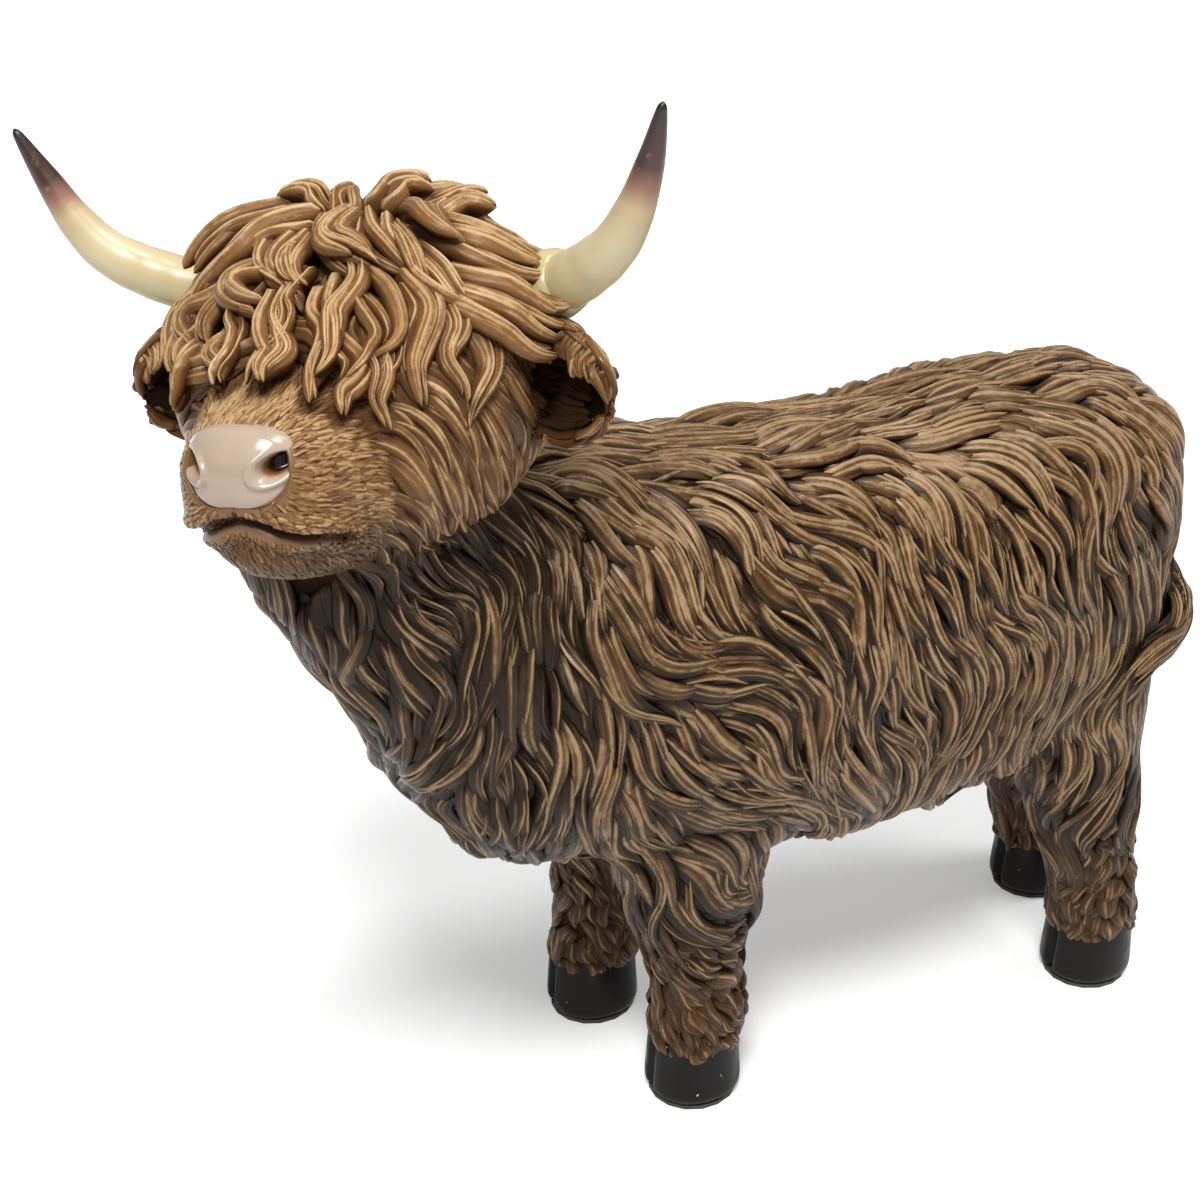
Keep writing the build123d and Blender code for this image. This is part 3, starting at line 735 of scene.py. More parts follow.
def horn_material():
    """Cream horn that turns through red-brown to near black at the tip, under a soft varnish."""
    n = Material("painted_horn")
    stops = [
        (0.0, paint(188, 172, 130)),
        (0.42, paint(206, 192, 154)),
        (0.60, paint(190, 168, 130)),
        (0.68, paint(140, 98, 78)),
        (0.76, paint(66, 38, 32)),
        (1.0, paint(34, 24, 24)),
    ]
    color = n.ramp(n.plus(n.attribute("share"), n.about(n.noise(55.0, 4.0), 0.05)), stops)
    color = n.mix(n.spread(n.noise(260.0), 0.62, 0.75, 0.0, 0.35), color, paint(188, 168, 122))
    return n.finish(color, n.uneven(40.0, 2.0, 0.26, 0.42), n.grain(320.0, 3.0, 0.12, 0.0003))


def hoof_material():
    """Near black satin paint with small pale chips."""
    n = Material("painted_hoof")
    n.sockets["Specular IOR Level"].default_value = 0.16
    color = n.mix(n.noise(60.0), paint(9, 7, 6), paint(20, 16, 14))
    color = n.mix(n.spread(n.noise(330.0, 1.0), 0.765, 0.78), color, paint(190, 184, 174))
    return n.finish(color, n.uneven(90.0, 3.0, 0.3, 0.5), n.grain(240.0, 3.0, 0.15, 0.0003))


def nose_material():
    """Glossy pinkish beige, with brown in the nostrils."""
    n = Material("painted_nose")
    hollow = n.attribute("hollow")
    color = n.mix(n.noise(70.0), paint(164, 144, 126), paint(182, 162, 142))
    color = n.mix(n.spread(hollow, 0.25, 0.8), color, paint(120, 74, 34))
    color = n.mix(n.spread(hollow, 0.8, 1.0), color, paint(40, 24, 14))
    return n.finish(color, 0.2, n.grain(260.0, 3.0, 0.1, 0.0003))


def plain_material(name, first, second, rough_low, rough_high, metallic=0.0):
    n = Material(name)
    n.sockets["Metallic"].default_value = metallic
    color = n.mix(n.noise(120.0), first, second)
    return n.finish(color, n.uneven(200.0, 3.0, rough_low, rough_high), n.grain(500.0, 2.0, 0.15, 0.0003))


coat_paint = coat_material()
face_paint = face_material()
deep_paint = coat_material("painted_undercoat", 0.8, 0.95, 0.1)
horn_paint = horn_material()
hoof_paint = hoof_material()
nose_paint = nose_material()
eye_paint = plain_material("painted_eye", paint(14, 10, 9), paint(26, 18, 14), 0.05, 0.12)
rubber = plain_material("soft_pad", paint(58, 52, 48), paint(76, 70, 64), 0.6, 0.8)
steel = plain_material("steel_rod", paint(170, 170, 172), paint(190, 190, 192), 0.3, 0.45, 1.0)
filler = plain_material("filler", paint(170, 158, 112), paint(196, 184, 138), 0.15, 0.3)



def wear(piece, material):
    piece.data.materials.clear()
    piece.data.materials.append(material)


def finish_piece(piece, material, slot, *nodes):
    wear(piece, material)
    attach(piece, "root")
    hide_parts(*nodes)


# Smooth curves through chosen points

def curve_through(points, count):
    """Evenly stepped points of a smooth curve through the given ones."""
    points = np.asarray(points, float)
    p = np.vstack((2 * points[0] - points[1], points, 2 * points[-1] - points[-2]))
    t = np.linspace(0, 1, 24, endpoint=False)[:, None]
    fine = []
    for i in range(1, len(p) - 2):
        slope = (p[i + 1] - p[i - 1]) * t
        bend = (2 * p[i - 1] - 5 * p[i] + 4 * p[i + 1] - p[i + 2]) * t**2
        twist = (3 * p[i] - p[i - 1] - 3 * p[i + 1] + p[i + 2]) * t**3
        fine.append(0.5 * (2 * p[i] + slope + bend + twist))
    fine = np.vstack(fine + [p[-2:-1]])
    steps = np.concatenate(([0], np.cumsum(np.linalg.norm(np.diff(fine, axis=0), axis=1))))
    spots = np.linspace(0, steps[-1], count)
    return np.stack([np.interp(spots, steps, values) for values in fine.T], axis=1)


def grid_quads(rows, columns):
    """Faces of a grid of points, joined round its columns."""
    row = np.arange(rows - 1)[:, None] * columns
    spot = np.arange(columns)
    after = (spot + 1) % columns
    quads = np.stack((row + spot, row + after, row + columns + after, row + columns + spot), axis=-1)
    return quads.reshape(-1, 4)


def grid_normals(grid):
    """Normals of a grid of points, from the steps along it and round it."""
    around = np.roll(grid, -1, 1) - np.roll(grid, 1, 1)
    return unit(np.cross(around, np.gradient(grid, axis=0)))


def squared(angles, share):
    """Across and up of a rounded box section: a share of 1 is a round, less is squarer."""
    across, high = np.sin(angles), np.cos(angles)
    return np.sign(across) * np.abs(across) ** share, np.sign(high) * np.abs(high) ** share


# The face: forward of the poll, half width, top and bottom of its sections
face_rows = (
    (43.0, 35.0, -3.5, -63.0),
    (48.0, 33.5, -4.5, -65.0),
    (54.0, 30.5, -9.0, -64.5),
    (62.0, 26.8, -12.0, -63.0),
    (69.0, 24.4, -13.8, -60.5),
    (76.5, 20.8, -15.8, -56.5),
    (81.0, 17.4, -17.6, -53.0),
    (83.8, 12.5, -20.0, -49.0),
    (85.0, 5.5, -27.0, -43.0),
    (85.5, 0.4, -34.6, -35.4),
)
mouth_line = [
    (0, -84.5, -38.6), (6, -84.4, -40.2), (11, -83.5, -42.6),
    (16, -80.5, -44.6), (20, -76.5, -46), (23, -71, -48.4),
]
eye_place = np.array((20.5, -48.5, -11.5))
# The nose pad's half width, its half height and the height of its middle
pad_wide, pad_high, pad_z = 16.3, 10.1, -26.4


def hump(value, middle, width):
    return np.exp(-(((value - middle) / width) ** 2))


def pad_reach(places):
    """How far out from the middle of the nose pad a place lies: 1 is its edge."""
    across, high = np.abs(places[..., 0]) / pad_wide, np.abs(places[..., 2] - pad_z) / pad_high
    return (across**2.56 + high**2.56) ** 0.39


def face_form():
    """The muzzle and face, with its mouth and lips carved in, and how near each point is to the lips."""
    rows = curve_through(face_rows, 110)
    angles = np.linspace(0, 2 * np.pi, 220, endpoint=False)
    across, high = squared(angles, 0.84)
    middle = (rows[:, 2] + rows[:, 3]) / 2
    half = (rows[:, 2] - rows[:, 3]) / 2
    grid = np.stack(
        (
            rows[:, 1:2] * across[None, :],
            np.broadcast_to(-rows[:, 0:1], (len(rows), len(angles))),
            middle[:, None] + half[:, None] * high[None, :],
        ),
        axis=-1,
    )
    out = grid_normals(grid)
    if out[60, 0, 2] < 0:
        out = -out
    line = curve_through(mouth_line, 90)
    line = np.vstack((line[::-1] * (-1, 1, 1), line))
    points = grid.reshape(-1, 3)
    gaps, above = np.empty((2, len(points)))
    for start in range(0, len(points), 4000):
        part = slice(start, start + 4000)
        distance = np.linalg.norm(points[part, None] - line, axis=2)
        gaps[part] = distance.min(1)
        above[part] = points[part, 2] - line[distance.argmin(1), 2]
    gaps, above = gaps.reshape(grid.shape[:2]), above.reshape(grid.shape[:2])
    upper = smooth_step(-0.3, 0.5, above)
    push = -3.0 * hump(gaps, 0, 1.35)
    push += upper * 1.3 * hump(gaps, 3.2, 2.4)
    push += (1 - upper) * 0.9 * hump(gaps, 3.6, 2.2)
    for side in (1, -1):
        corner = np.array(mouth_line[-1]) * (side, 1, 1)
        reach = np.linalg.norm(grid - corner, axis=2)
        push -= 2.2 * hump(reach, 0, 2.6)
    x, y, z = np.moveaxis(grid, -1, 0)
    lower_jaw = (1 - upper) * smooth_step(-62, -78, y) * smooth_step(-64, -50, z)
    push -= 1.6 * lower_jaw
    push += 1.4 * np.exp(-((x / 11) ** 2) - ((z + 56) / 4.5) ** 2) * smooth_step(-60, -72, y)
    push -= 0.7 * hump(x, 0, 0.7) * upper * smooth_step(-80, -84, y)
    for side in (1, -1):
        socket = np.linalg.norm(grid - eye_place * (side, 1, 1), axis=2)
        push -= 2.0 * hump(socket, 0, 4.5)
        push += 1.3 * hump(socket, 6.2, 1.5)
    grid = grid + out * push[..., None]
    beside = smooth_step(4.5, 8.0, np.abs(grid[..., 0])) * smooth_step(-70, -74, grid[..., 1])
    grid[..., 1] += 8.0 * smooth_step(0.95, 0.7, pad_reach(grid)) * beside
    return grid, hump(gaps, 0, 1.9) * smooth_step(-60, -66, grid[..., 1])


def nose_form():
    """The smooth nose pad with its two nostrils, and how deep each point lies in them."""
    turns = np.linspace(0, 2 * np.pi, 220, endpoint=False)
    shares = np.concatenate((np.linspace(0.006, 1, 90), np.linspace(1.015, 1.14, 9)))
    across, high = squared(turns, 0.78)
    within = np.minimum(shares, 1)[:, None]
    x = pad_wide * across * within
    z = pad_z + pad_high * high * within
    x = x * (1 - 0.17 * smooth_step(-27.0, -36.0, z))
    z = z + 0.9 * hump(x, 0, 6.0) * smooth_step(-31, -36, z)
    y = -87.6 + 8.6 * (np.abs(x) / pad_wide) ** 2.5 + 6.2 * np.clip((z + 28) / 11.5, 0, 1) ** 2.2
    y += 1.8 * np.clip((-31.5 - z) / 5, 0, 1) ** 2
    hollow = np.zeros_like(x)
    for side in (1, -1):
        dx, dz = (x * side - 11.7), (z + 25.0)
        tilt = math.radians(28)
        major = (dx * math.cos(tilt) + dz * math.sin(tilt)) / 4.2
        minor = (-dx * math.sin(tilt) + dz * math.cos(tilt)) / 3.0
        reach = np.hypot(major, minor)
        pit = smooth_step(1.12, 0.45, reach) * (x * side > 0)
        open_side = (major * 0.9 + minor * 0.45) / np.maximum(reach, 0.01)
        rim = hump(reach, 1.38, 0.27) * smooth_step(0.75, -0.1, open_side) * (x * side > 0)
        y = y + 6.0 * pit - 1.15 * rim
        hollow = np.maximum(hollow, smooth_step(1.08, 0.6, reach) * (x * side > 0))
    y = y + 0.35 * hump(x, 0, 0.9) * smooth_step(-30, -34, z)
    edge = np.clip(shares - 1, 0, 1)[:, None] / 0.14
    soft = smooth_step(0.9, 1.0, shares)[:, None]
    wider = 1 + 0.05 * edge
    return np.stack((x * wider, y + 0.9 * soft + 6.0 * edge, pad_z + (z - pad_z) * wider), axis=-1), hollow


def rings_round(ways, hint, count):
    """A ring of outward ways round each of some ways."""
    first = unit(np.cross(ways, hint))
    second = np.cross(ways, first)
    turns = np.linspace(0, 2 * np.pi, count, endpoint=False)[:, None]
    return np.cos(turns) * first[..., None, :] + np.sin(turns) * second[..., None, :]


# Horns

horn_points = [
    (40, 4.6, -4.6), (58.7, -2.3, 0.2), (75.4, -10.1, 9.9),
    (84.3, -13, 20.3), (91.1, -14.7, 34.0), (96.7, -17.5, 48.6),
]


def horn_form(side):
    """One horn along its curve, thick at the root, with faint growth rings."""
    line = curve_through(np.array(horn_points) * (side, 1, 1), 120)
    share = np.clip((np.linspace(0, 1, len(line)) - 0.2) / 0.8, 0, 1)
    radius = np.interp(share, (0, 0.28, 0.52, 0.77, 0.93, 0.985, 1.0), (8.0, 7.1, 5.7, 3.7, 2.0, 1.25, 0.35))
    radius = radius * (1 + 0.012 * np.sin(share * 46) * (1 - share))
    ring = rings_round(unit(np.gradient(line, axis=0)), (0.0, 1.0, 0.0), 40)
    grid = line[:, None, :] + ring * radius[:, None, None]
    return grid, np.broadcast_to(share[:, None], grid.shape[:2])


# Ears: their length, the angle of their rims from their backs, and the points across each side
ear_length, rim_angle, ear_columns = 37.0, 106, 44


class Ear:
    """One cupped ear, open to the front. Places on it go by a share along it and an angle round it."""

    def __init__(self, side):
        sweep, droop = math.radians(16), math.radians(15)
        self.ahead = np.array(
            (side * math.cos(sweep) * math.cos(droop), -math.sin(sweep) * math.cos(droop), -math.sin(droop))
        )
        high = np.array((0.0, 0.12, 0.99))
        self.high = unit(high - self.ahead * high.dot(self.ahead))
        self.front = unit(np.cross(self.high, self.ahead) * side)
        if self.front[1] > 0:
            self.front = -self.front
        self.root = np.array((side * 38.0, -5.0, -21.5))

    def at(self, share, angle, inside=0.0):
        """A place in the head frame. An angle of 0 is the ear's back."""
        share, angle = np.broadcast_arrays(share, angle)
        half = np.interp(share, (0, 0.15, 0.4, 0.65, 0.85, 0.95, 1), (9.0, 12.5, 15.4, 14.8, 10.8, 6.6, 2.0))
        depth = np.interp(share, (0, 0.2, 0.5, 0.8, 1), (5.5, 7.5, 8.0, 6.0, 2.0))
        middle = self.root + self.ahead * (share * ear_length)[..., None]
        middle = middle + self.high * (1.5 * np.sin(share * np.pi))[..., None]
        up_part = np.sin(angle) * np.maximum(half - inside, 0.3)
        back_part = np.cos(angle) * np.maximum(depth - inside, 0.2)
        return middle + self.high * up_part[..., None] - self.front * back_part[..., None]

    def out(self, angle):
        """Away from the ear's hollow at an angle round it."""
        angle = np.asarray(angle, float)
        return unit(self.high * np.sin(angle)[..., None] - self.front * (np.cos(angle) * 1.6)[..., None])

    def shell(self):
        """The ear's outer and inner sides as one closed grid of points."""
        shares = np.linspace(0, 1, 40)[:, None]
        outer = np.radians(np.linspace(-rim_angle, rim_angle, ear_columns))[None, :]
        thickness = 2.4
        return np.concatenate((self.at(shares, outer), self.at(shares, outer[:, ::-1], thickness)), axis=1)

    def strands(self, draw, reach, starts, jitter, span, last, sway, turn, inside):
        """Places and outward ways of strands along the ear, side by side round it."""
        strands = []
        for angle in np.linspace(-reach, reach, 11):
            for start in starts:
                first = start + draw.uniform(-jitter, jitter)
                shares = np.clip(np.linspace(first, first + span, 5), 0, last)
                angles = np.radians(angle + draw.uniform(-6, 6) + sway * np.sin(np.linspace(0, turn, 5)))
                strands.append((self.at(shares, angles, inside), self.out(angles)))
        return strands

    def hair(self, draw):
        """Paths and outward ways for the hair: over the rim, along the back, dark strands within, and
        the fringe that hangs from the upper rim."""
        rim, lash = [], []
        for edge in (1, -1):
            for share in np.arange(0.02, 0.985, 0.062):
                lean = draw.uniform(-0.05, 0.05)
                angles = np.radians(np.array((40, 60, 79, 95, 106)) + draw.uniform(-4, 3)) * edge
                shares = np.clip(share + lean * np.array((-1.0, -0.5, 0.0, 0.5, 1.0)), 0, 1)
                inside = np.array((-0.2, -0.5, -0.6, -0.2, 1.0))
                rim.append((self.at(shares, angles, inside), self.out(angles)))
        shares = np.array((0.82, 0.9, 0.96, 1.0, 1.03))
        past = self.ahead * (np.maximum(shares - 1, 0) * ear_length)[:, None]
        forward = self.ahead * np.linspace(0.2, 1.6, 5)[:, None]
        inside = np.array((-0.6, -0.9, -1.0, -0.4, 1.2))
        for angle in np.radians(np.linspace(-100, 100, 9)):
            angles = np.full(5, angle)
            tip = self.at(np.minimum(shares, 1), angles, inside) + past
            rim.append((tip, unit(self.out(angles) + forward)))
        back = self.strands(draw, 80, (0.0, 0.3, 0.58), 0.04, 0.42, 1, 8, 3.5, -0.3)
        inner = self.strands(draw, 88, (0.05, 0.4), 0.05, 0.5, 0.97, 6, 3.0, 2.6)
        inner = [(places, -outs) for places, outs in inner]
        lash = []
        for share in np.arange(0.03, 0.9, 0.05):
            edge = self.at(share, math.radians(104), 0.4)
            drop = draw.uniform(4.5, 9.5) * math.sin(math.pi * (0.85 * share + 0.12)) ** 0.5
            slide = self.ahead * draw.uniform(0.5, 3.5)
            low = edge + self.front * 0.9 - self.high * 0.3 * drop
            lower = edge + self.front * 0.8 - self.high * 0.7 * drop + 0.5 * slide
            end = edge + self.front * 0.1 - self.high * drop + slide
            over = self.out(math.radians(96)) + self.front
            first, second = self.at(share, math.radians(84), -0.5), self.at(share, math.radians(99), -0.4)
            lash.append(([first, second, low, lower, end], [over, over, self.front, self.front, self.front]))
        return {"lash": lash, "rim": rim, "back": back, "inner": inner}


# Eyes

def eye_form(side):
    """A glossy eye seen between lids."""
    tilt = np.linspace(0, 0.62 * np.pi, 20)[:, None, None]
    out = unit(np.array((side * 0.72, -0.62, 0.2)))
    grid = np.cos(tilt) * out + np.sin(tilt) * rings_round(out, (0, 0, 1.0), 48)
    return eye_place * (side, 1, 1) - 2.2 * out + 5.0 * grid


# Hooves

def hoof_form(leg):
    """One cloven hoof, rounded under its edge, with the slot between its toes in front."""
    x, y = hooves[leg]
    turns = np.linspace(0, 2 * np.pi, 160, endpoint=False)
    across, ahead = squared(turns, 0.9)
    bottom = 1.6
    heights = np.concatenate((np.linspace(bottom, 4.5, 10), np.linspace(5.2, 29.0, 26)))[:, None]
    half = 16.9 - 1.5 * ((heights - bottom) / 25) - 2.6 * np.exp(-((heights - bottom) / 1.5) ** 1.2)
    from_front = np.angle(np.exp(1j * (turns - np.pi)))
    lobes = 0.45 * hump(from_front, 0, 0.5)
    slot = 3.4 * hump(from_front, 0, 0.085) * smooth_step(27.5, 22.0, heights) ** 0.6
    grid = np.stack(
        (
            x + across * (half * 0.985 + lobes - slot),
            y + ahead * (half * 1.03 + lobes - slot),
            np.broadcast_to(heights, slot.shape),
        ),
        axis=-1,
    )
    middle = np.array((x, y, bottom))
    return np.concatenate((middle + (grid[:1] - middle) * 0.02, grid))


def grid_piece(name, grid, attributes=None, capped=True):
    """A mesh over a grid of points in millimetres, closed at its first row, and at its last if capped."""
    rows, columns = grid.shape[:2]
    groups = [grid_quads(rows, columns), np.arange(columns)[None, ::-1]]
    if capped:
        groups.append((rows - 1) * columns + np.arange(columns)[None, :])
    return mesh_object(name, grid.reshape(-1, 3), groups, attributes)


# Skins under the coat

castings = [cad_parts[name].data for name in ("body_casting", "belly_plug", "head_casting")]
coat_skin = skin_of(castings, "coat_skin", voxel=2.0, rounds=6)
skin_points, skin_normals, skin_triangles = mesh_arrays(coat_skin)


def rounds_at(places):
    """How many rounds even out the skin: most over the head's raised locks, few on the legs."""
    rounds = np.full(len(places), 40)
    local = to_head(places)
    rounds[(local[:, 2] > -72) & (local[:, 1] < 50)] = 70
    rounds[places[:, 2] < 112] = 10
    rounds[places[:, 2] < 92] = 4
    return rounds


skin_points = relaxed(skin_points, skin_triangles, rounds_at(skin_points))
skin_normals = vertex_normals(skin_points, skin_triangles)


def leg_gap(places):
    """How far each place is from the nearest leg's middle, seen from above."""
    return np.min([np.hypot(places[:, 0] - x, places[:, 1] - y) for x, y in hooves.values()], axis=0)


def inset_at(places):
    """How far the skin lies under the CAD's outer form."""
    x, y, z = places.T
    local = to_head(places)
    inset = np.full(len(places), 1.5)
    inset += 2.0 * smooth_step(150, 176, y) * smooth_step(195, 175, z)
    inset -= 3.2 * smooth_step(205, 232, z) * smooth_step(-75, -50, y) * (local[:, 2] < -70)
    inset += 2.0 * smooth_step(-108, -128, y) * smooth_step(250, 225, z)
    nearest_leg = leg_gap(places)
    legs = (z < 100) & (nearest_leg < 30)
    front_legs = [place for place in hooves.values() if abs(place[1]) < 60]
    behind = np.max([(y - leg_y) * (np.abs(x - leg_x) < 22) for leg_x, leg_y in front_legs], axis=0)
    fetlock = hump(z, 36, 9) * np.clip(behind / 16, 0, 1) * (behind < 24)
    inset[legs] = 1.2 - 3.0 * fetlock[legs]
    # The front right leg and the back of the rear left one are slimmer above the fetlock
    slim = (x < spine_x) & (y < 60) | (x > spine_x) & (y > 170)
    inset[legs & slim] += 1.8 * smooth_step(24, 45, z[legs & slim])
    # The skin keeps off the steel rod up each leg, though not off the top of the rear right one
    inset[legs] = np.minimum(inset[legs], nearest_leg[legs] - 5.5)
    hoof = z < hoof_height - 2
    inset[hoof] = 2.0
    in_head = smooth_step(-70, -45, local[:, 2]) * (local[:, 1] < 60)
    crown = in_head * smooth_step(-35, 5, local[:, 2]) * smooth_step(-62, -40, local[:, 1])
    inset += 3.2 * crown
    muzzle = smooth_step(-45, -62, local[:, 1]) * (local[:, 2] > -90)
    inset = inset * (1 - muzzle) + 3.4 * muzzle
    return inset


skin_points = skin_points - skin_normals * inset_at(skin_points)[:, None]

# The face, which the short fur lies on
face_grid, face_lip = face_form()
face_points = from_head(face_grid)
face_triangles = grid_quads(*face_grid.shape[:2])
face_triangles = np.concatenate((face_triangles[:, :3], face_triangles[:, [0, 2, 3]]))
face_surface = Surface(face_points.reshape(-1, 3), face_triangles)
face_centre = from_head((0.0, -50.0, -36.0))
if np.sum(face_surface.face_normals * (face_points.reshape(-1, 3)[face_triangles[:, 0]] - face_centre)) < 0:
    face_triangles = face_triangles[:, ::-1]
    face_surface = Surface(face_points.reshape(-1, 3), face_triangles)

# The coat lies over the skin and the back of the face together
skin_solid = mesh_object("skin_solid", skin_points, [skin_triangles])
face_solid = grid_piece("face_solid", face_points)
outer_skin = skin_of((skin_solid.data, face_solid.data), "outer_skin", voxel=1.6, rounds=4)
outer_points, _, outer_triangles = mesh_arrays(outer_skin)
surface = Surface(outer_points, outer_triangles)
for spare in (skin_solid, face_solid, outer_skin):
    bpy.data.objects.remove(spare)


def fur_edge(local):
    """How far back the muzzle's short fur reaches, in the head frame."""
    under = smooth_step(-55, -72, local[:, 2])
    bridge = smooth_step(20, 12, np.abs(local[:, 0])) * smooth_step(-25, -14, local[:, 2])
    return -61.5 + 12 * under + 14 * bridge


# Seeds for the coat's locks, by region

def region_of(places):
    """0 trunk, 1 neck and chest, 2 legs, 3 head, 4 muzzle, 5 hooves, 6 fringe and crown."""
    y, z = places.T[1:]
    local = to_head(places)
    region = np.zeros(len(places), int)
    region[y < neck_joint_y + 4] = 1
    region[(z < 104) & (leg_gap(places) < 32)] = 2
    head = (np.abs(local[:, 0]) < 60) & (local[:, 1] < 45) & (local[:, 1] > -95) & (local[:, 2] > -66)
    region[head] = 3
    fringe = head & (local[:, 2] > -4 - 0.35 * (local[:, 1] + 50)) & (local[:, 1] < 30)
    region[fringe] = 6
    muzzle = head & (local[:, 1] < fur_edge(local))
    region[muzzle] = 4
    region[z < hoof_height + 1] = 5
    return region


# How each kind of lock is formed, by columns. A row may leave out its last ones, which have values of
# their own. Sizes are in millimetres.
columns = (
    "width", "height", "lift", "sink", "depth", "strands", "rings", "across", "grooves", "comb", "gather",
    "lean", "round", "settle", "root", "blunt",
)
usual_ends = {"lean": 0.0, "round": 2.0, "settle": 0.0, "root": 0.04, "blunt": 0.07}
kind_rows = {
    "bed": (9.5, 0.7, 0.5, 0.5, 0.9, 1, 9, 9, 3.5, 0.26, 0.5, 0.0, 2.0, 0.0, 0.3, 0.01),
    "trunk": (14.0, 2.2, 1.7, 0.8, 3.0, 3, 22, 13, 3.4, 0.3, 0.5, 0.6, 1.5, 0.45, 0.3, 0.01),
    "neck": (13.0, 2.5, 2.0, 0.8, 3.4, 3, 21, 13, 3.2, 0.32, 0.55, 0.6, 1.5, 0.4, 0.3, 0.01),
    "legs": (6.4, 1.1, 1.2, 0.4, 1.6, 2, 9, 9, 2.4, 0.18, 0.5, 0.5, 1.6, 0.2),
    "head": (9.0, 1.9, 1.8, 0.7, 3.0, 3, 18, 11, 2.8, 0.26, 0.5, 0.55, 1.6, 0.3, 0.3, 0.01),
    "fringe": (10.0, 2.1, 2.6, 0.7, 4.0, 3, 18, 11, 3.0, 0.3, 0.6, 0.5, 1.7, 0.2),
    # The three kinds of lock placed one by one have widths of their own
    "front": (None, 2.8, 3.4, 0.2, 5.0, 3, 26, 13, 3.4, 0.34, 0.75, 0.45, 1.8),
    "rolls": (None, 3.6, 4.2, 0.2, 6.0, 3, 26, 14, 3.4, 0.4, 0.4, 0.4, 2.0),
    "tufts": (None, 2.8, 3.0, 0.0, 5.0, 3, 18, 13, 3.2, 0.4, 0.2, 0.4, 2.0),
    "rim": (4.6, 0.9, 0.6, 0.5, 1.8, 2, 12, 9, 2.4, 0.3, 0.45),
    "back": (6.5, 1.1, 1.0, 0.5, 1.6, 2, 12, 9, 2.6, 0.3, 0.55),
    "inner": (4.0, 1.0, 1.2, 0.4, 1.2, 2, 10, 8, 2.0, 0.3, 0.4),
    "tail": (8.0, 1.5, 1.2, 0.4, 2.4, 3, 22, 10, 2.8, 0.4, 0.35),
    "muzzle": (1.0, 0.2, 0.16, 0.12, 0.4, 1, 7, 4, 1.0, 0.03, 0.4),
}
kinds = {label: {**usual_ends, **dict(zip(columns, row))} for label, row in kind_rows.items()}
kinds["lash"] = kinds["rim"]
coat_rows = {
    # regions, spacing, lengths, curl and waves
    "bed": ((0, 1, 6), 6.6, (24, 38), 0.05, 0.5),
    "trunk": ((0,), 9.8, (40, 74), 0.14, 0.8),
    "neck": ((1,), 9.0, (38, 66), 0.16, 0.8),
    "legs": ((2,), 5.2, (13, 22), 0.3, 0.6),
    "head": ((3,), 7.0, (34, 60), 0.14, 0.8),
    "fringe": ((6,), 6.0, (26, 42), 0.5, 1.0),
}

